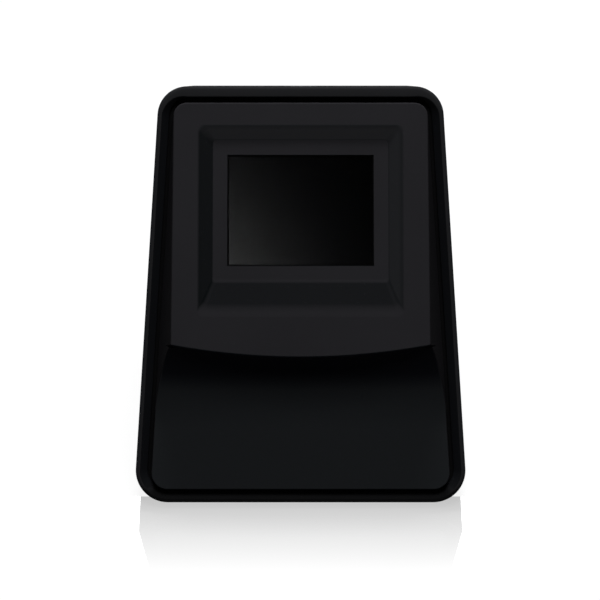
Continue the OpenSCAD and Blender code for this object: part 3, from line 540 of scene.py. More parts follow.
class Form:
    """The front's outline and its frames of reference, worked out from the sizes."""

    def __init__(self, scene):
        self.front_sizes = sizes = scene.scanner_front
        self.cover = cover = scene.scanner_cover
        self.side_k = (sizes.bottom - sizes.top) / 2 / sizes.length
        self.side_q = math.hypot(1, self.side_k)
        lean = sizes.recline
        start = (-sizes.depth / 2 + sizes.edge * (1 - math.sin(lean))
                 + (sizes.rim - sizes.edge) * math.cos(lean))
        self.front = (Matrix.Translation((0, start, sizes.foot + sizes.lift))
                      @ turn_x(math.pi / 2 - lean))
        self.face_s = sizes.length - cover.inset - 0.3 * MM
        self.face_h = cover.apron + 0.1 * MM
        self.recess_v = -cover.recess_top - cover.recess_height / 2
        self.top = (self.front @ Matrix.Translation((0, sizes.length, -sizes.button_back))
                    @ turn_x(-math.pi / 2))
        self.face = (self.front @ Matrix.Translation((0, self.face_s, self.face_h))
                     @ turn_x(-cover.tilt))

    def half_width(self, s, inset):
        """Half the front's width at a length up its slope, taken in by inset."""
        return self.front_sizes.bottom / 2 - self.side_k * s - inset * self.side_q

    def outline(self, inset, spread=0, steps=16):
        """Points of the front's outline taken in by inset, anticlockwise from the bottom right.

        At the top they are taken in by spread more."""
        sizes = self.front_sizes
        lean = math.atan(self.side_k)
        below, above = sizes.bottom_corner, sizes.top_corner
        high = sizes.length - above
        corners = (
            (self.half_width(below, below), below, below - inset, -math.pi / 2, lean, 0),
            (self.half_width(high, above), high, above - inset, lean, math.pi / 2, spread),
        )
        right = []
        for x, s, radius, first, last, more in corners:
            for step in range(steps + 1):
                share = step / steps
                turn, arm = first + (last - first) * share, radius - more * share
                right.append((x + arm * math.cos(turn), s + arm * math.sin(turn)))
        return right + [(-x, s) for x, s in reversed(right)]


def rounded(corners, steps=4):
    """Closed profile whose corners, given as (a, b, radius), become arcs."""
    points = []
    for index, (a, b, radius) in enumerate(corners):
        here = Vector((a, b))
        if radius == 0:
            points.append(tuple(here))
            continue
        before = (Vector(corners[index - 1][:2]) - here).normalized()
        after = (Vector(corners[(index + 1) % len(corners)][:2]) - here).normalized()
        half = before.angle(after) / 2
        centre = here + (before + after).normalized() * radius / math.sin(half)
        first = here + before * radius / math.tan(half) - centre
        last = here + after * radius / math.tan(half) - centre
        sweep = first.angle(last)
        for step in range(steps + 1):
            share = step / steps
            arm = first * math.sin((1 - share) * sweep) + last * math.sin(share * sweep)
            points.append(tuple(centre + arm / math.sin(sweep)))
    return points


# ---- meshes ----


def mm(points):
    """Points given in millimetres, in metres."""
    return [tuple(value * MM for value in point) for point in points]


def link(name, data):
    """A new object in the scene, round a mesh, a light or a camera."""
    made = bpy.data.objects.new(name, data)
    bpy.context.scene.collection.objects.link(made)
    return made


def piece_from(name, made):
    """A new piece from a bmesh, its faces turned outwards."""
    bmesh.ops.recalc_face_normals(made, faces=made.faces)
    mesh = bpy.data.meshes.new(name)
    made.to_mesh(mesh)
    made.free()
    return link(name, mesh)


def loft(rings, joined=False):
    """Closed piece through rings of points. A ring of one point is a tip. Its two ends are
    capped, or joined to each other."""
    made = bmesh.new()
    rows = [[made.verts.new(point) for point in ring] for ring in rings]
    steps = max(len(row) for row in rows)
    for row, after in zip(rows, rows[1:] + rows[:1] if joined else rows[1:]):
        for index in range(steps):
            beside = (index + 1) % steps
            corners = (row[index % len(row)], row[beside % len(row)],
                       after[beside % len(after)], after[index % len(after)])
            made.faces.new(tuple(dict.fromkeys(corners)))
    for row in () if joined else (rows[0], rows[-1]):
        if len(row) > 1:
            made.faces.new(row)
    return piece_from("loft", made)


def lifted(outline, level, place):
    """A 2D outline on a level of a frame."""
    return [place @ Vector((x, y, level)) for x, y in outline]


def prism(points, low, high, place, along="z"):
    """Straight prism over a closed 2D outline, along a frame's Z axis, or along its X axis."""
    if along == "z":
        return loft([lifted(points, level, place) for level in (low, high)])
    return loft([[place @ Vector((level, a, b)) for a, b in points] for level in (low, high)])


def tapered(width, depth, steps, place):
    """Block on a frame's XY plane whose plan has a share of its size at each level, from
    (share, level) steps."""
    return loft([lifted(rectangle(width * share, depth * share), level, place)
                 for share, level in steps])


def turned(profile, place, steps=40, joined=False):
    """Piece of revolution about a frame's Z axis, through (radius, height) points. They start
    and end on the axis, or their ends are joined and it becomes a ring."""
    return loft([lifted(circle(0, 0, radius, steps if radius else 1), height, place)
                 for radius, height in profile], joined)


def round_rectangle(left, bottom, right, top, radius, steps=5):
    """Outline of a rectangle with rounded corners."""
    corners = ((right, bottom, -1), (right, top, 0), (left, top, 1), (left, bottom, 2))
    points = []
    for x, y, quarter in corners:
        inner_x = x - math.copysign(radius, x - (left + right) / 2)
        inner_y = y - math.copysign(radius, y - (bottom + top) / 2)
        for step in range(steps + 1):
            turn = math.pi / 2 * (quarter + step / steps)
            points.append((inner_x + radius * math.cos(turn), inner_y + radius * math.sin(turn)))
    return points


def around(steps):
    """Cosine and sine at equal steps round a full turn."""
    turns = (2 * math.pi * step / steps for step in range(steps))
    return [(math.cos(turn), math.sin(turn)) for turn in turns]


def circle(x, y, radius, steps=32):
    """Outline of a circle about a point."""
    return [(x + radius * a, y + radius * b) for a, b in around(steps)]


def rectangle(width, height, x=0, y=0):
    """Outline of a rectangle about a point."""
    return [(x + side * width / 2, y + up * height / 2)
            for side, up in ((-1, -1), (1, -1), (1, 1), (-1, 1))]


def plan_frame(low, high, level=None):
    """Frame in the middle of a box's plan, on its lowest level or on another one."""
    level = low.z if level is None else level
    return Matrix.Translation(((low.x + high.x) / 2, (low.y + high.y) / 2, level))


def back_frame(low, high):
    """Frame in the middle of a box's back, its Z axis into the box."""
    middle = ((low.x + high.x) / 2, high.y, (low.z + high.z) / 2)
    return Matrix.Translation(middle) @ turn_x(math.pi / 2)


def modify(piece, kind, **settings):
    """Adds a modifier to a piece and sets it up."""
    modifier = piece.modifiers.new(kind, kind)
    for key, value in settings.items():
        setattr(modifier, key, value)


def settle(piece):
    """Applies a piece's modifiers."""
    bpy.context.view_layer.update()
    graph = bpy.context.evaluated_depsgraph_get()
    made = bpy.data.meshes.new_from_object(piece.evaluated_get(graph))
    old = piece.data
    piece.modifiers.clear()
    piece.data = made
    bpy.data.meshes.remove(old)


def carve(piece, tool, operation="DIFFERENCE"):
    """Cuts a piece with a tool, joins the tool to it, or keeps what they share. The tool is
    used up."""
    modify(piece, "BOOLEAN", operation=operation, solver="EXACT", object=tool)
    settle(piece)
    bpy.data.objects.remove(tool)
    return piece


def smooth(piece, degrees=40):
    """Shades a piece smooth, but for its edges over an angle."""
    piece.data.shade_smooth()
    piece.data.set_sharp_from_angle(angle=math.radians(degrees))
    return piece


def soften(piece, width, weigh=None, least=12, segments=3):
    """Merges flat faces and rounds the edges. weigh gives an edge's share of the width, from 0
    to 1, and least is the angle in degrees from which an edge is rounded."""
    made = bmesh.new()
    made.from_mesh(piece.data)
    bmesh.ops.remove_doubles(made, verts=made.verts, dist=2 * WELD)
    bmesh.ops.dissolve_limit(
        made, angle_limit=math.radians(0.5), verts=made.verts, edges=made.edges
    )
    weights = made.edges.layers.float.new("bevel_weight_edge")
    for edge in made.edges:
        if len(edge.link_faces) == 2 and edge.calc_face_angle() > math.radians(least):
            edge[weights] = weigh(edge) if weigh else 1
    made.to_mesh(piece.data)
    made.free()
    modify(piece, "BEVEL", width=width, segments=segments, limit_method="WEIGHT",
           use_clamp_overlap=False)
    settle(piece)
    smooth(piece, 50)
    modify(piece, "WEIGHTED_NORMAL", keep_sharp=True)
    return piece


def paint(piece, number):
    """Gives all faces of a piece the material with a number."""
    for face in piece.data.polygons:
        face.material_index = number
    return piece


def join_all(pieces):
    """Joins pieces into the first one, each keeping its materials by number."""
    made = bmesh.new()
    for piece in pieces:
        made.from_mesh(piece.data)
    first = pieces[0]
    made.to_mesh(first.data)
    made.free()
    for piece in pieces[1:]:
        bpy.data.objects.remove(piece)
    return first


def ready(piece, name, slot, material, *nodes, body="scanner"):
    """Names a piece, gives it one or more finishes, hangs it on the body that it rides on, and
    hides the nodes that it stands for.
    """
    piece.name = name
    piece.data.name = name
    numbers = [face.material_index for face in piece.data.polygons]
    piece.data.materials.clear()
    for one in material if isinstance(material, (list, tuple)) else (material,):
        piece.data.materials.append(one)
    piece.data.polygons.foreach_set("material_index", numbers)
    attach(piece, body)
    if nodes:
        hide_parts(*nodes)
    return piece


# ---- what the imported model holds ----


def node_solids(node):
    """Bmesh of a carried-over node, its doubled points welded."""
    solids = bmesh.new()
    solids.from_mesh(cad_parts[node].data)
    bmesh.ops.remove_doubles(solids, verts=solids.verts, dist=WELD)
    return solids


def part_of(node, region):
    """The part of a carried-over node that lies in a region. The region is used up."""
    part = piece_from(node + "_part", node_solids(node))
    return smooth(carve(part, region, "INTERSECT"), 30)


def islands(node, into=Matrix()):
    """Lowest and highest corners of each separate solid of a carried-over node, seen in a
    frame."""
    solids = node_solids(node)
    turn = into.inverted()
    seen, boxes = set(), []
    for start in solids.verts:
        if start in seen:
            continue
        seen.add(start)
        group, queue = [], [start]
        while queue:
            vertex = queue.pop()
            group.append(turn @ vertex.co)
            for edge in vertex.link_edges:
                other = edge.other_vert(vertex)
                if other not in seen:
                    seen.add(other)
                    queue.append(other)
        boxes.append(tuple(Vector(choose(point[axis] for point in group) for axis in range(3))
                           for choose in (min, max)))
    solids.free()
    return boxes


# ---- screws and feet ----


def cross_cutter(reach, depth, place):
    """Tapered cross for a screw head."""
    narrow, thick = reach * 0.55, reach * 0.32
    ends = ((-depth, narrow, 0.7), (depth, 2 * reach - narrow, 1.3))
    blades = []
    for turn in (0, math.pi / 2):
        here = place @ Matrix.Rotation(turn, 4, "Z")
        blades.append(loft([lifted(rectangle(2 * half, thick * share), level, here)
                            for level, half, share in ends]))
    return carve(*blades, "UNION")


def screw(shank, place):
    """Pan head screw with a cross recess and rolled thread, its head's seat at the frame's
    origin."""
    head, seat, radius, pitch = 2 * MM, SCREW_HEAD, 1.1 * MM, 0.8 * MM
    root = radius - 0.22 * MM
    profile = [(0, -shank), (root * 0.55, -shank)]
    level = -shank + 0.25 * MM
    for _ in range(int((shank - 0.5 * MM) / pitch)):
        profile += [(root, level), (radius, level + 0.35 * pitch), (root, level + 0.7 * pitch)]
        level += pitch
    profile += [(root, -0.05 * MM), (radius, 0), (head - 0.1 * MM, 0), (head, 0.15 * MM),
                (head, 0.6 * seat), (0.87 * head, 0.86 * seat), (0.62 * head, seat), (0, seat)]
    piece = turned(profile, Matrix(), 24)
    carve(piece, cross_cutter(0.55 * head, 0.75 * MM, Matrix.Translation((0, 0, seat))))
    piece.data.transform(place)
    return piece


def screw_group(node, name, material, into=Matrix()):
    """Replaces a node of screws. A screw's head is on the upper side of the frame."""
    pieces = []
    for low, high in islands(node, into):
        seat = high.z - SCREW_HEAD
        pieces.append(screw(seat - low.z, into @ plan_frame(low, high, seat)))
    ready(smooth(join_all(pieces), 30), name, "screws", material, node)


def foot(low, high):
    """Rubber foot with a rolled edge and a hollow ring in its sole."""
    radius, height = (high.x - low.x) / 2 / MM, (high.z - low.z) / MM
    profile = mm([
        (0, 0.1), (1.4, 0.1), (1.7, 0.45), (radius - 2, 0.45), (radius - 1.7, 0),
        (radius - 0.7, 0), (radius - 0.2, 0.25), (radius, 0.7), (radius, height - 0.2),
        (radius - 0.15, height), (0, height),
    ])
    return turned(profile, plan_frame(low, high), 56)


# ---- buttons ----


def arc_band(radius, width, first, last, steps=20):
    """Outline of a part of a ring, between two angles in degrees."""
    turns = [math.radians(first + (last - first) * step / steps) for step in range(steps + 1)]
    outer, inner = ([(arm * math.cos(turn), arm * math.sin(turn)) for turn in turns]
                    for arm in (radius + width / 2, radius - width / 2))
    return outer + inner[::-1]


def symbol(kind):
    """Outlines of a generic mark for a button: power, confirm, mode, or which way it steps."""
    way = -1 if kind == "previous" else 1
    outlines = {
        "power": [rectangle(0.5, 1.9, 0, 1), arc_band(1.75, 0.5, 125, 415)],
        "confirm": [circle(0, 0, 1.89)],
        "mode": [rectangle(1.3, 1.3, x, y) for y in (0.9, -0.9) for x in (-0.9, 0.9)],
    }.get(kind, [[(-1.1 * way, -1.5), (1.6 * way, 0), (-1.1 * way, 1.5)][::way]])
    return [mm(points) for points in outlines]


def button(place, outline, mark):
    """Dished cap on its flange and stem, with a raised mark in the dish. Its top is on the
    frame's XY plane, and outline(inset) gives its plan."""
    base, seat, stem, flange = -3.6, -2.6, -6.4, 1.2
    steps = mm([
        (-flange, base), (-flange, seat - 0.15), (0.15 - flange, seat), (0, seat), (0, -0.55),
        (0.08, -0.26), (0.26, -0.08), (0.55, 0), (0.95, -0.05), (1.5, -0.18), (2.2, -0.32),
        (3, -0.42),
    ])
    cap = loft([lifted(outline(inset), level, place) for inset, level in steps])
    shaft = mm([(0, stem), (1.7, stem), (2, stem + 0.3), (2, base + 0.3), (0, base + 0.3)])
    smooth(carve(cap, turned(shaft, place, 24), "UNION"), 35)
    marks = [prism(points, -0.7 * MM, -0.18 * MM, place) for points in symbol(mark)]
    return join_all([cap, *(paint(piece, 1) for piece in marks)])


# ---- sockets ----


def usb_parts(low, high):
    """Shell of the data socket, rounded at its lower corners, its tongue, and the contacts on
    the tongue."""
    place = back_frame(low, high)
    wide, tall = (high.x - low.x) / 2 / MM, (high.z - low.z) / 2 / MM
    deep = high.y - low.y

    def plan(inset):
        side = [(wide - 1.3, -tall), (wide - 0.5, 0.9 - tall), (wide, 1.5 - tall),
                (wide, tall - 0.35), (wide - 0.35, tall)]
        corners = [(1.3 - wide, -tall), *side, *((-x, z) for x, z in side[:0:-1])]
        return mm([(x * (1 - inset / wide), z * (1 - inset / tall)) for x, z in corners])

    shell = prism(plan(0), 0, deep, place)
    carve(shell, prism(plan(0.35), -MM, deep - 0.8 * MM, place))
    tongue = prism(mm(rectangle(2 * wide - 2.6, 1.1, 0, 0.25)), 1.2 * MM, deep - 0.5 * MM, place)
    contacts = [prism(mm(rectangle(0.45, 0.12, x * 0.95, -0.33)), 1.5 * MM, deep - MM, place)
                for x in range(-2, 3)]
    return smooth(shell, 30), soften(tongue, 0.22 * MM), soften(join_all(contacts), 0.04 * MM)


def jack_liner(low, high):
    """Contact ring just inside the video jack, and the lip round its mouth."""
    bore, inner, depth = 1.3, 1.02, 6
    profile = mm([(0, depth), (bore, depth), (bore, 0.5), (bore - 0.12, 0.4), (inner, 0.5),
                  (inner, depth - 0.3), (0, depth - 0.3)])
    return smooth(turned(profile, back_frame(low, high), 32), 30)


def card_contacts(low, high):
    """The plastic bed inside the memory card socket, and the sprung fingers on it."""
    count, width, world = 9, high.x - low.x - 3 * MM, Matrix()
    left, middle, floor = low.x + 1.5 * MM, low.y + 5 * MM, low.z + 0.4 * MM
    bed = prism(rectangle(width, 5 * MM, (low.x + high.x) / 2, middle), floor, floor + 0.5 * MM,
                world)
    profile = [(low.y + y * MM, floor + z * MM) for y, z in (
        (3, 0.5), (9, 0.5), (10.5, 1.1), (11.5, 0.7), (11.5, 0.82), (10.5, 1.25), (9, 0.65),
        (3, 0.65))]
    fingers = []
    for index in range(count):
        x = left + width * (index + 0.5) / count
        fingers.append(prism(profile, x - 0.5 * MM, x + 0.5 * MM, world, "x"))
        if index:
            gap = rectangle(0.6 * MM, 6 * MM, x - width / 2 / count, middle)
            carve(bed, prism(gap, floor + 0.25 * MM, floor + MM, world))
    return soften(bed, 0.06 * MM), soften(join_all(fingers), 0.03 * MM)


def spring_coil(low, high, turns=5, sides=10):
    """Round wire coil along Y that fills a box, with a flat turn at each end."""
    thick = 0.22 * MM
    radius = (high.x - low.x) / 2 - thick
    first, last = low.y + thick, high.y - thick
    middle = Vector(((low.x + high.x) / 2, 0, (low.z + high.z) / 2))
    steps, rings = turns * 28, []
    for step in range(steps + 1):
        share = step / steps
        rise = min(1, max(0, (share - 0.12) / 0.76))
        turn = 2 * math.pi * turns * share
        out = Vector((math.cos(turn), 0, math.sin(turn)))
        centre = middle + radius * out + Vector((0, first + (last - first) * rise, 0))
        rings.append([centre + thick * 0.98 * (a * out + b * Vector((0, 1, 0)))
                      for a, b in around(sides)])
    return smooth(loft(rings), 60)


# ---- boards ----


def chip(x, y, width, depth, height, pins, place):
    """Moulded package with a chamfered edge, a dot at its first pin, and leads on two or four
    sides."""
    here = place @ Matrix.Translation((x, y, 0))
    steps = ((0.96, 0.12), (1, 0.5), (1, 0.6), (0.94, 1))
    body = tapered(width, depth, [(share, level * height) for share, level in steps], here)
    corner = Matrix.Translation((1.3 * MM - width / 2, depth / 2 - 1.3 * MM, height))
    spot = turned(mm([(0, 0), (0.45, 0), (0.4, 0.02), (0, 0.02)]), here @ corner, 16)
    pieces = [body, paint(spot, 1)]
    for turn, side, out, count in ((0, width, depth / 2, pins[0]),
                                   (math.pi / 2, depth, width / 2, pins[1])):
        profile = [(out * 0.94, 0.5 * height), (out + 0.3 * MM, 0.5 * height),
                   (out + 0.5 * MM, 0.02 * MM), (out + 0.9 * MM, 0.02 * MM),
                   (out + 0.9 * MM, 0.12 * MM), (out + 0.58 * MM, 0.12 * MM),
                   (out + 0.4 * MM, 0.62 * height), (out * 0.94, 0.62 * height)]
        for index in range(count):
            along = side * ((index + 0.5) / count - 0.5) * 0.9
            for half_turn in (0, math.pi):
                lead = prism(profile, along - 0.13 * MM, along + 0.13 * MM,
                             here @ Matrix.Rotation(turn + half_turn, 4, "Z"), "x")
                pieces.append(paint(lead, 2))
    return join_all(pieces)


def can_capacitor(x, y, radius, height, place):
    """Upright capacitor: a rolled aluminium can on a black foot. Its sizes are in
    millimetres."""
    here = place @ Matrix.Translation((x * MM, y * MM, 0))
    profile = mm([(0, 0.5), (radius, 0.5), (radius, 1.3), (radius - 0.15, 1.5), (radius, 1.7),
                  (radius, height - 0.25), (radius - 0.25, height),
                  (radius - 0.5, height - 0.08), (0, height - 0.08)])
    block = prism(mm(rectangle(2 * radius, 2 * radius)), 0, 0.6 * MM, here)
    return join_all([block, paint(turned(profile, here, 32), 2)])


def key_switch(place, width, height, plunger):
    """Push switch with a steel cover held by four rivets, a plunger and four legs. Its sizes
    are in millimetres."""
    lid, tip = (height - 0.35) * MM, height + plunger
    body = prism(mm(rectangle(width, width)), 0.2 * MM, lid, place)
    plate = prism(mm(rectangle(width - 0.1, width - 0.1)), lid, height * MM, place)
    carve(plate, prism(mm(circle(0, 0, 1.85)), 0, (height + 1) * MM, place))
    stem = turned(mm([(0, 0.5), (1.7, 0.5), (1.7, tip - 0.15), (1.55, tip), (0, tip)]), place, 28)
    rivet = mm([(0, height), (0.35, height), (0.3, height + 0.18), (0, height + 0.2)])
    parts = [body, paint(plate, 1), stem]
    for x in (-1, 1):
        for y in (-1, 1):
            spot = Matrix.Translation(Vector((x, y, 0)) * (width / 2 - 0.85) * MM)
            leg = mm(rectangle(0.7, 0.7, x * (width / 2 - 0.35), y * (width / 2 - 1)))
            parts += [turned(rivet, place @ spot, 16), paint(prism(leg, 0, 0.25 * MM, place), 1)]
    return join_all(parts)


def light_source(low, high):
    """Package with sloping inner walls round a shallow bed of phosphor."""
    width, depth, height = high - low
    place, floor = plan_frame(low, high), height - 0.3 * MM
    steps = ((1, 0), (1, height - 0.05 * MM), (0.97, height), (0.84, height), (0.72, floor))
    half_w, half_d = 0.36 * width, 0.36 * depth
    bed = round_rectangle(-half_w, -half_d, half_w, half_d, 0.3 * MM)
    bed = prism(bed, floor, height - 0.12 * MM, place)
    return join_all([tapered(width, depth, steps, place), paint(bed, 1)])


def lens_tube(low, high, bore, seat_bore, seat):
    """Threaded lens tube with a knurled ring at its lower end. Its two bores meet at the
    seat."""
    radius, tall = (high.x - low.x) / 2, high.z - low.z
    root, pitch, notches = radius - 0.3 * MM, 0.7 * MM, 24
    profile = [(bore, tall), (bore, seat), (seat_bore, seat), (seat_bore, 0), (root, 0),
               (radius, 0.3 * MM), (radius, 3 * MM), (root, 3.3 * MM)]
    level = 3.6 * MM
    while level < tall - pitch - 0.3 * MM:
        profile += [(root, level), (radius - 0.04 * MM, level + 0.5 * pitch)]
        level += pitch
    profile += [(root, level), (root, tall)]
    place = plan_frame(low, high)
    tube = turned(profile, place, 96, joined=True)
    notch = mm([(-0.25, 0), (0, -0.25), (0.25, 0), (0, 0.25)])
    for index in range(notches):
        turn = Matrix.Rotation(2 * math.pi * index / notches, 4, "Z")
        here = place @ turn @ Matrix.Translation((radius, 0, 0))
        carve(tube, prism(notch, 0.4 * MM, 2.8 * MM, here))
    return tube


# ---- front frame and front cover ----


def frame_ring(form):
    """The rim, its inner slope, the groove, the ledge and the tongue, as one ring."""
    sizes = form.front_sizes
    back, ledge = -sizes.frame_depth, sizes.ledge
    tongue_end, tongue_out = back - TONGUE_LENGTH, sizes.wall + FIT
    tongue_in = tongue_out + TONGUE_THICK
    profile = rounded([
        (0, back, 0.3 * MM),
        (0, sizes.rim, sizes.edge),
        (sizes.edge + 0.3 * MM, sizes.rim, 0.5 * MM),
        (sizes.rim_width, sizes.rim - sizes.rim_drop, 0.25 * MM),
        (sizes.rim_width, ledge, 0),
        (LEDGE_INSET, ledge, 0),
        (LEDGE_INSET, ledge - LEDGE_THICK, 0),
        (tongue_in, ledge - LEDGE_THICK, 0),
        (tongue_in, tongue_end, 0),
        (tongue_out, tongue_end, 0),
        (tongue_out, back, 0),
    ], 6)
    rings = []
    for inset, h in profile:
        spread = sizes.rim_spread if h > 0 and inset > sizes.edge else 0
        rings.append(lifted(form.outline(inset, spread), h, form.front))
    return loft(rings, joined=True)


def trim_for_base(form, ring):
    """Cuts the frame off level with the housing's lower edge, and makes room for the base
    plate."""
    sizes = form.front_sizes
    everywhere = rectangle(4 * REACH, 4 * REACH)
    carve(ring, prism(everywhere, -REACH, sizes.foot, Matrix()))
    plate = prism(form.outline(sizes.wall), -REACH, 0, form.front)
    carve(plate, prism(everywhere, -REACH, sizes.foot + sizes.plate, Matrix()), "INTERSECT")
    return carve(ring, plate)


def cover_form(form, inwards, floor, lower=0):
    """Outer form of the cover, or its hollow when taken inwards. lower moves its lower edge
    down."""
    cover, sizes = form.cover, form.front_sizes
    slope, drop = math.tan(cover.tilt), inwards / math.cos(cover.tilt)
    start, end, panel = cover.scoop_start, sizes.length, cover.apron - inwards

    def face_at(s):
        return form.face_h + (form.face_s - s) * slope - drop

    middle, arm = cover.apron + cover.scoop_radius, cover.scoop_radius + inwards
    arc = []
    for degrees in range(2, 80, 2):
        turn = math.radians(degrees)
        s, h = start + arm * math.sin(turn), middle - arm * math.cos(turn)
        if h > face_at(s):
            break
        arc.append((s, h))
    top = [(end, face_at(end)), (end, floor - MM)]
    side = [(0, floor - MM), (0, panel), (start, panel), *arc, (s, face_at(s)), *top]
    face_side = [(start, floor - MM), (start, face_at(start)), *top]
    scoop, block = (prism(points, -REACH, REACH, form.front, "x") for points in (side, face_side))
    lip = circle(0, cover.lip_radius - cover.face_length, cover.lip_radius - inwards, 360)
    carve(block, prism(lip, -30 * MM, 30 * MM, form.face), "INTERSECT")
    carve(scoop, block, "UNION")
    low_end = sizes.bottom_corner + MM
    plan = [(x, s - lower if s < low_end else s) for x, s in form.outline(cover.inset + inwards)]
    carve(scoop, prism(plan, floor, 60 * MM, form.front), "INTERSECT")
    lean = math.atan((form.side_k - cover.flare) / (form.side_q * slope))
    foot_x = form.half_width(form.face_s, cover.inset) + 0.15 * MM - inwards / math.cos(lean)
    for way in (1, -1):
        place = (form.front @ Matrix.Scale(way, 4, (1, 0, 0))
                 @ Matrix.Translation((foot_x, form.face_s, cover.apron))
                 @ Matrix.Rotation(math.atan(form.side_k), 4, "Z")
                 @ Matrix.Rotation(-lean, 4, "Y"))
        carve(scoop, prism(rectangle(REACH, 2 * REACH, REACH / 2), -REACH, REACH, place))
    return scoop


def bend(first, corner, last, steps=6):
    """Points of a smooth bend from one 2D point to another, pulled towards a corner."""
    first, corner, last = Vector(first), Vector(corner), Vector(last)
    return [first * (1 - u) ** 2 + corner * 2 * u * (1 - u) + last * u ** 2
            for u in (step / steps for step in range(steps + 1))]


def recess_tool(form):
    """Cutter for the sloping recess round the display, with soft bends at the top and foot of
    its slopes. Its profile goes from -1 at the floor to 0 at the face."""
    cover = form.cover
    soft, low = 0.26, 0.08
    slope_side = (cover.recess_width - cover.recess_floor) / 2
    profile = [*bend((-1 - low, -1), (-1, -1), (low - 1, low - 1)),
               *bend((-soft, -soft), (0, 0), (soft, 0.01)), (soft, 1)]
    rings = []
    for out, level in profile:
        half = cover.recess_width / 2 + slope_side * out
        top = cover.slope_top * out - cover.recess_top
        bottom = -cover.recess_top - cover.recess_height - cover.slope_bottom * out
        outline = round_rectangle(-half, bottom, half, top, (2.0 + 0.6 * out) * MM)
        rings.append(lifted(outline, level * cover.recess_depth, form.face))
    return loft(rings)


def edge_share(form, edge):
    """How softly an edge of the cover is rounded: less round the window than elsewhere."""
    cover = form.cover
    x, v, _ = form.face.inverted() @ ((edge.verts[0].co + edge.verts[1].co) / 2)
    beside = (abs(x) < cover.window_width / 2 + MM
              and abs(v + cover.window_drop) < cover.window_height / 2 + MM)
    return 0.25 if beside else 1


def cover_shell(form):
    """The cover with its recess, its window opening and the rebate behind it."""
    cover, ledge, shorter = form.cover, form.front_sizes.ledge, 2.2 * MM
    shell = cover_form(form, 0, ledge, cover.lower)
    carve(shell, cover_form(form, cover.wall, ledge - MM, cover.lower))
    back = -cover.recess_depth - RECESS_FLOOR
    floor = rectangle(cover.recess_width + 2 * RECESS_WALL,
                      cover.recess_height + 2 * RECESS_WALL - shorter,
                      0, form.recess_v - shorter / 2)
    carve(shell, prism(floor, back, -MM, form.face), "UNION")
    carve(shell, recess_tool(form))
    window = rectangle(cover.window_width, cover.window_height, 0, -cover.window_drop)
    carve(shell, prism(window, -THROUGH, THROUGH, form.face))
    pane = rectangle(cover.pane_width, cover.pane_height, 0, -cover.pane_drop)
    return carve(shell, prism(pane, -THROUGH, back + 1.2 * MM, form.face))


def window_mask(form):
    """Thin black band round the picture area, on the front of the window."""
    cover, gap, band = form.cover, 0.06 * MM, 0.9 * MM
    level = -cover.recess_depth - 0.6 * MM
    outer, inner = (rectangle(cover.window_width - less, cover.window_height - less,
                              0, -cover.window_drop) for less in (gap, band))
    mask = prism(outer, level, level + 0.03 * MM, form.face)
    return carve(mask, prism(inner, -THROUGH, 0, form.face))


def frame_bosses(form):
    """The frame's tabs for the cover screws and its bosses for the base screws."""
    ledge, tongue_in = form.front_sizes.ledge, form.front_sizes.wall + FIT + TONGUE_THICK
    under = ledge - LEDGE_THICK
    tabs = prism(form.outline(LEDGE_INSET - OVERLAP), under - 0.2 * MM, ledge + MM, form.front)
    below = prism(form.outline(tongue_in + OVERLAP), -50 * MM, under - OVERLAP, form.front)
    return [part_of("front_frame", region) for region in (tabs, below)]


def cover_posts(form):
    """The cover's posts for its own screws and for those of the display's bracket."""
    cover, margin = form.cover, 2 * (RECESS_WALL + OVERLAP)
    hollow = cover_form(form, cover.wall + OVERLAP, form.front_sizes.ledge - MM)
    recess = rectangle(cover.recess_width + margin, cover.recess_height + margin,
                       0, form.recess_v)
    back = -cover.recess_depth - RECESS_FLOOR - OVERLAP
    return part_of("front_cover", carve(hollow, prism(recess, back, THROUGH, form.face)))


def dress_node(name, material, width=0.1 * MM):
    """Gives a carried-over node its finish, with fine edges broken by a small bevel."""
    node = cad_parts[name]
    node.data.materials.clear()
    node.data.materials.append(material)
    node.data.shade_smooth()
    modify(node, "WELD", merge_threshold=WELD)
    modify(node, "DECIMATE", decimate_type="DISSOLVE", angle_limit=math.radians(0.6))
    modify(node, "BEVEL", width=width, segments=2, limit_method="ANGLE",
           angle_limit=math.radians(30), harden_normals=True)
    modify(node, "WEIGHTED_NORMAL", keep_sharp=True)


# ---- operators ----


class SCANNER_OT_shells(Operator):
    """Dresses the shells."""

    bl_idname = "scanner.shells"
    bl_label = "Shells"

    def execute(self, context):
        colours = context.scene.scanner_colours
        form = Form(context.scene)
        body = moulded_plastic("black plastic", colours.body)
        # The frame and the cover get painted light and shade on top of their plastic, and the cover
        # a painted shade where it faces sideways.
        rim = moulded_plastic("rim plastic", colours.body, painted_shading=rim_painted_shade(form, colours))
        cover = moulded_plastic("cover plastic", colours.cover, sides=0.6,
                                painted_shading=cover_painted_light_and_shade(form, colours))
        for name in ("rear_housing", "base_plate"):
            dress_node(name, body, 0.35 * MM)
        ring = smooth(trim_for_base(form, frame_ring(form)))
        ring = join_all([ring, *frame_bosses(form)])
        ready(ring, "front_frame_shell", "frame", rim, "front_frame")
        shell = cover_shell(form)
        soften(shell, 0.5 * MM, lambda edge: edge_share(form, edge), 25)
        shell = join_all([shell, cover_posts(form)])
        ready(shell, "front_cover_shell", "cover", cover, "front_cover")
        feet = smooth(join_all([foot(low, high) for low, high in islands("rubber_feet")]), 30)
        ready(feet, "feet", "feet", rubber("rubber", colours.rubber), "rubber_feet")
        return {"FINISHED"}


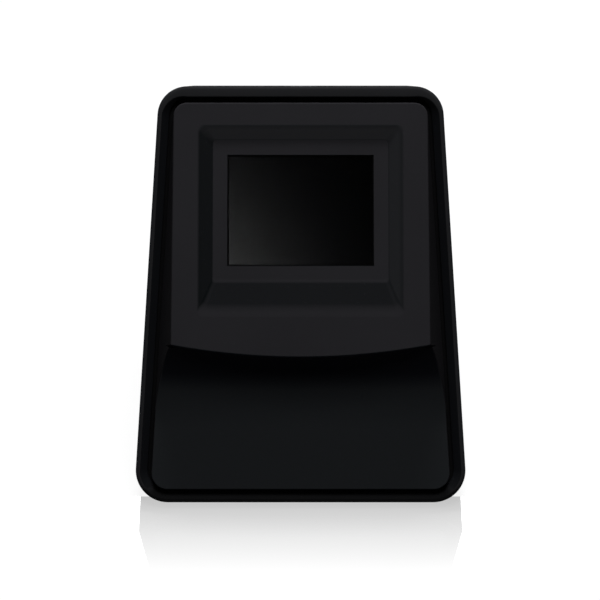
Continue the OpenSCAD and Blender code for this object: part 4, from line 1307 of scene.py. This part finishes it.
class SCANNER_OT_display(Operator):
    """Dresses the display."""

    bl_idname = "scanner.display"
    bl_label = "Display"

    def execute(self, context):
        dress_node("screen_window", clear_window("window"))
        black = moulded_plastic("black band", (0.0015, 0.0015, 0.0015), 0.7, 0.1 * MM,
                                0.002 * MM, 0.002)
        ready(window_mask(Form(context.scene)), "window_mask", "window", black)
        dress_node("lcd_panel", display_glass("display glass"))
        tray = plated_steel("stamped tray", (0.6, 0.61, 0.62), 0.35)
        for name in ("lcd_light_unit", "lcd_bracket"):
            dress_node(name, tray)
        return {"FINISHED"}


class SCANNER_OT_buttons(Operator):
    """Makes the five push buttons on the sloping top."""

    bl_idname = "scanner.buttons"
    bl_label = "Buttons"

    def execute(self, context):
        colours = context.scene.scanner_colours
        form = Form(context.scene)
        small, large, half_wide, half_deep, corner = (
            size * MM for size in (9, 13, 5.5, 4, 1.5)
        )
        grey = moulded_plastic("button plastic", colours.button, 0.5, 0.25 * MM, 0.01 * MM, 0.06)
        silver = moulded_plastic("middle button plastic", colours.ok_button, 0.4, 0.25 * MM,
                                 0.008 * MM, 0.1)
        white, black = ink("white print", 0.62), ink("dark print", 0.01)

        def round_plan(diameter):
            return lambda inset: circle(0, 0, diameter / 2 - inset, 56)

        def step_plan(inset):
            x, y = half_wide - inset, half_deep - inset
            return round_rectangle(-x, -y, x, y, max(0.3 * MM, corner - max(0, inset)), 8)

        kinds = (
            ("power_button", "power", round_plan(small), grey, white, "buttons"),
            ("previous_button", "previous", step_plan, grey, white, "buttons"),
            ("ok_button", "confirm", round_plan(large), silver, black, "ok_cap"),
            ("next_button", "next", step_plan, grey, white, "buttons"),
            ("mode_button", "mode", round_plan(small), grey, white, "buttons"),
        )
        for index, (node, mark, plan, plastic, print_ink, slot) in enumerate(kinds, -2):
            place = form.top @ Matrix.Translation((index * form.front_sizes.button_pitch, 0, 0))
            cap = button(place, plan, mark)
            name = node.replace("button", "cap")
            ready(cap, name, slot, (plastic, print_ink), node, body=node)
        return {"FINISHED"}


class SCANNER_OT_screws(Operator):
    """Makes all the screws, with thread and cross recess."""

    bl_idname = "scanner.screws"
    bl_label = "Screws"

    def execute(self, context):
        form = Form(context.scene)
        steel = plated_steel("zinc plated steel")
        over, upright = turn_x(math.pi), Matrix()
        for name, into in (
            ("base", over), ("cover", form.front @ over), ("lcd", form.face @ over),
            ("gate", upright), ("roof", upright), ("light", upright), ("tower", upright),
            ("sensor", upright), ("board", upright), ("button_board", form.top @ over),
        ):
            screw_group(name + "_screws", name + "_cross_screws", steel, into)
        return {"FINISHED"}


class SCANNER_OT_sockets(Operator):
    """Makes the data socket, the video jack's contact and the memory card socket's contacts."""

    bl_idname = "scanner.sockets"
    bl_label = "Sockets"

    def execute(self, context):
        nickel = plated_steel("nickel plate", (0.62, 0.60, 0.57), 0.22)
        gold = plated_steel("gold plate", (0.78, 0.58, 0.25), 0.2)
        black = moulded_plastic("jack plastic", context.scene.scanner_colours.socket, shine=0.4)
        shell, tongue, contacts = usb_parts(*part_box("usb_socket"))
        ready(shell, "data_shell", "socket", nickel, "usb_socket")
        ready(tongue, "data_tongue", "jack", black)
        ready(contacts, "data_contacts", "brass", gold)
        dress_node("av_jack", black, 0.25 * MM)
        ready(jack_liner(*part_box("av_jack")), "jack_contact", "socket", nickel)
        dress_node("sd_socket", nickel)
        bed, fingers = card_contacts(*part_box("sd_socket"))
        ready(bed, "card_bed", "jack", black)
        ready(fingers, "card_fingers", "brass", gold)
        return {"FINISHED"}


class SCANNER_OT_boards(Operator):
    """Makes the parts that sit on the circuit boards."""

    bl_idname = "scanner.boards"
    bl_label = "Board parts"

    def execute(self, context):
        epoxy = moulded_plastic("chip epoxy", (0.012, 0.012, 0.013), 0.6, 0.2 * MM, 0.015 * MM,
                                0.3)
        white = ink("chip print", 0.5, 0.002 * MM)
        tin = plated_steel("tinned leads", (0.66, 0.66, 0.64), 0.3)
        low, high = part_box("main_board")
        place = Matrix.Translation((0, (low.y + high.y) / 2, high.z))
        # x, y, width, depth and height in millimetres, and how many pins two sides have
        parts = [chip(*(size * MM for size in sizes), pins, place) for *sizes, pins in (
            (3, 1, 12.6, 12.6, 1.4, (18, 18)),
            (17, 0, 8.6, 14, 1.1, (0, 22)),
            (-24, -5, 5.4, 5, 1.6, (0, 4)),
        )]
        parts += [can_capacitor(x, -6, 2, 5.4, place) for x in (-16, -11)]
        ready(join_all(parts), "main_board_parts", "chips", (epoxy, white, tin), "board_chips")
        top, plunger = Form(context.scene).top, 0.5
        switches = [key_switch(top @ plan_frame(low, high), (high.x - low.x) / MM,
                               (high.z - low.z) / MM - plunger, plunger)
                    for low, high in islands("tact_switches", top)]
        ready(join_all(switches), "key_switches", "chips", (epoxy, tin), "tact_switches")
        lamps = [light_source(low, high) for low, high in islands("light_leds")]
        ready(join_all(lamps), "backlight_lamps", "led",
              (white_reflector("lamp package"), cast_resin("cast resin")), "light_leds")
        return {"FINISHED"}


class SCANNER_OT_inside(Operator):
    """Dresses the film gate, the camera, the boards and the small parts."""

    bl_idname = "scanner.inside"
    bl_label = "Inside"

    def execute(self, context):
        colours = context.scene.scanner_colours
        tower = moulded_plastic("tower plastic", colours.tower, 0.75)
        for material, *names in (
            (moulded_plastic("gate plastic", colours.gate), "lower_gate", "upper_gate"),
            (tower, "camera_tower", "lens_holder"),
            (plated_steel("turned steel"), "detent_barrel"),
            (circuit_board("circuit board", colours.board),
             "light_board", "sensor_board", "main_board", "button_board"),
            (white_reflector("white reflector"), "light_box"),
            (opal_plastic("opal plastic", colours.opal), "diffuser"),
            (coated_glass("coated glass"), "lens_glass"),
            (silicon("silicon"), "image_sensor"),
            (plated_steel("brass", (0.70, 0.50, 0.22), 0.25), "detent_pin"),
            (ribbon_film("ribbon film"), "lcd_ribbon", "sensor_ribbon", "button_ribbon"),
            (moulded_plastic("cable sheath", colours.cable, shine=0.3), "light_cable"),
        ):
            for name in names:
                dress_node(name, material)
        tube = lens_tube(*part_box("lens_barrel"), 3.8 * MM, 5 * MM, 2.2 * MM)
        ready(smooth(tube, 30), "lens_tube", "lens", tower, "lens_barrel")
        low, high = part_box("detent_spring")
        coil = spring_coil(low, high)
        wire = plated_steel("spring wire", (0.5, 0.5, 0.5), 0.2)
        ready(coil, "detent_coil", "spring", wire, "detent_spring")
        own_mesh(coil)
        return {"FINISHED"}


class SCANNER_OT_stage(Operator):
    """Makes the floor, the lights and the camera."""

    bl_idname = "scanner.stage"
    bl_label = "Stage"

    def execute(self, context):
        make_floor()
        make_world(context.scene)
        make_lights()
        make_camera(context.scene)
        return {"FINISHED"}


# ---- stage ----


def plainly_seen(finish, gloss_share=0.1):
    """1 for what the camera sees straight or through glass, and a share of it for what shows
    in a gloss."""
    kinds = ("Is Camera Ray", "Is Transmission Ray", "Is Glossy Ray")
    camera, through, glossy = finish.node("ShaderNodeLightPath", output=kinds)
    return camera.at_least(through).at_least(glossy * gloss_share)


def make_floor():
    """White table top that keeps a soft shadow and a short mirror image of the front."""
    reach, under = 3, 0.02 * MM
    ahead_fade, side_fade, tuck = 34 * MM, 6 * MM, 8 * MM
    mesh = bpy.data.meshes.new("floor")
    mesh.from_pydata([(x, y, -under) for x, y in rectangle(2 * reach, 2 * reach)],
                     [], [(0, 1, 2, 3)])
    floor = link("floor", mesh)
    finish = Finish("table top")
    x, y, _ = finish.parts(finish.place())
    ahead = CAD_BOX[0].y - y
    beside = (x.size() - CAD_BOX[1].x) / side_fade
    near = ((1 - ahead / ahead_fade).at_least(0) * ahead.over(-tuck)
            * (1 - beside).at_least(0).at_most(1))
    seen = plainly_seen(finish)
    shade = finish.mix(seen, (0.05, 0.05, 0.05), (0.8, 0.8, 0.8))
    matt = finish.node("ShaderNodeBsdfDiffuse", None, {"Color": shade})
    white = finish.node("ShaderNodeEmission", None, {"Color": (1, 1, 1), "Strength": 1.0})
    mirror = finish.node("ShaderNodeBsdfGlossy", None, {"Color": (1, 1, 1), "Roughness": 0.02})
    lit = finish.blend(seen * 0.9, matt, white)
    mesh.materials.append(finish.surface(finish.blend(near * 0.33, lit, mirror)))


def make_world(scene):
    """White backdrop behind the object, and a dim room in front of it."""
    finish = Finish("studio", world=True)
    _, y, z = finish.parts(finish.node("ShaderNodeTexCoord", output="Generated"))
    seen = plainly_seen(finish, 1) * (y.ramp(-0.125, 4) * z.ramp(0.14, 5))
    shade = finish.mix(seen, (0.004, 0.004, 0.004), (1, 1, 1))
    inputs = {"Color": shade, "Strength": 1.0}
    scene.world = finish.surface(finish.node("ShaderNodeBackground", None, inputs))


def area_light(name, place, target, size, power, roll=0):
    """Rectangular light that faces a target, turned by a roll about its own axis."""
    data = bpy.data.lights.new(name, "AREA")
    data.shape = "RECTANGLE"
    data.size, data.size_y = size
    data.energy = power
    light = link(name, data)
    light.location = place
    aim = (Vector(target) - Vector(place)).to_track_quat("-Z", "Y")
    light.rotation_euler = (aim @ Quaternion((0, 0, 1), roll)).to_euler()


def make_lights():
    """Soft lights above, one a little in front and two behind, and a dim card that shows in
    the window."""
    middle, distance = Vector((0, 0, 0.08)), 1.3
    for name, lean, side, size, power in (
        ("upper front", 67, 0.04, (0.45, 0.5), 11.8),
        ("upper back", 103, 0.02, (0.5, 0.25), 18),
        ("rear fill", 150, 0.1, (0.8, 0.5), 7),
    ):
        turn = math.radians(lean)
        direction = Vector((side, -math.cos(turn), math.sin(turn)))
        area_light(name, middle + distance * direction, middle, size, power)
    area_light("card", (-0.19, -0.87, 0.63), (0, -0.02, 0.096), (0.3, 0.3), 0.40,
               math.radians(34))


def make_camera(scene):
    """Looks down at the front from the middle. The focal length and the shifts are in
    pixels."""
    sensor, pixels, focal, shift_x, shift_y = 36, 600, 2079, -0.6, -4.0
    tilt, distance = math.radians(31), 0.7
    target = Vector((0, -31.65, 70.36)) * MM
    data = bpy.data.cameras.new("camera")
    data.sensor_width = sensor
    data.lens = focal * sensor / pixels
    data.shift_x = shift_x / pixels
    data.shift_y = shift_y / pixels
    camera = link("camera", data)
    camera.location = target + distance * Vector((0, -math.cos(tilt), math.sin(tilt)))
    camera.rotation_euler = (math.pi / 2 - tilt, 0, 0)
    scene.camera = camera


# ---- panel and registration ----


class SCANNER_PT_panel(Panel):
    """Lists the sizes, the colours and the operators."""

    bl_idname = "SCANNER_PT_panel"
    bl_label = "Film scanner"
    bl_space_type = "VIEW_3D"
    bl_region_type = "UI"
    bl_category = "Scanner"

    def draw(self, context):
        for name, group in GROUPS.items():
            for size in group.__annotations__:
                self.layout.prop(getattr(context.scene, name), size)
        for operator in OPERATORS:
            self.layout.operator(operator.bl_idname)


GROUPS = {
    "scanner_front": ScannerFront,
    "scanner_cover": ScannerCover,
    "scanner_colours": ScannerColours,
}
OPERATORS = (SCANNER_OT_shells, SCANNER_OT_display, SCANNER_OT_buttons, SCANNER_OT_screws,
             SCANNER_OT_sockets, SCANNER_OT_boards, SCANNER_OT_inside, SCANNER_OT_stage)
CLASSES = (*GROUPS.values(), *OPERATORS, SCANNER_PT_panel)


def register():
    """Adds the classes and the scene's settings to Blender."""
    for item in CLASSES:
        bpy.utils.register_class(item)
    for name, group in GROUPS.items():
        setattr(bpy.types.Scene, name, PointerProperty(type=group))


def unregister():
    """Takes them away again."""
    for name in GROUPS:
        delattr(bpy.types.Scene, name)
    for item in reversed(CLASSES):
        bpy.utils.unregister_class(item)


def main():
    """Builds everything."""
    register()
    bpy.context.scene.view_settings.view_transform = "Standard"
    for operator in OPERATORS:
        group, name = operator.bl_idname.split(".")
        getattr(getattr(bpy.ops, group), name)()


if __name__ == "__main__":
    main()
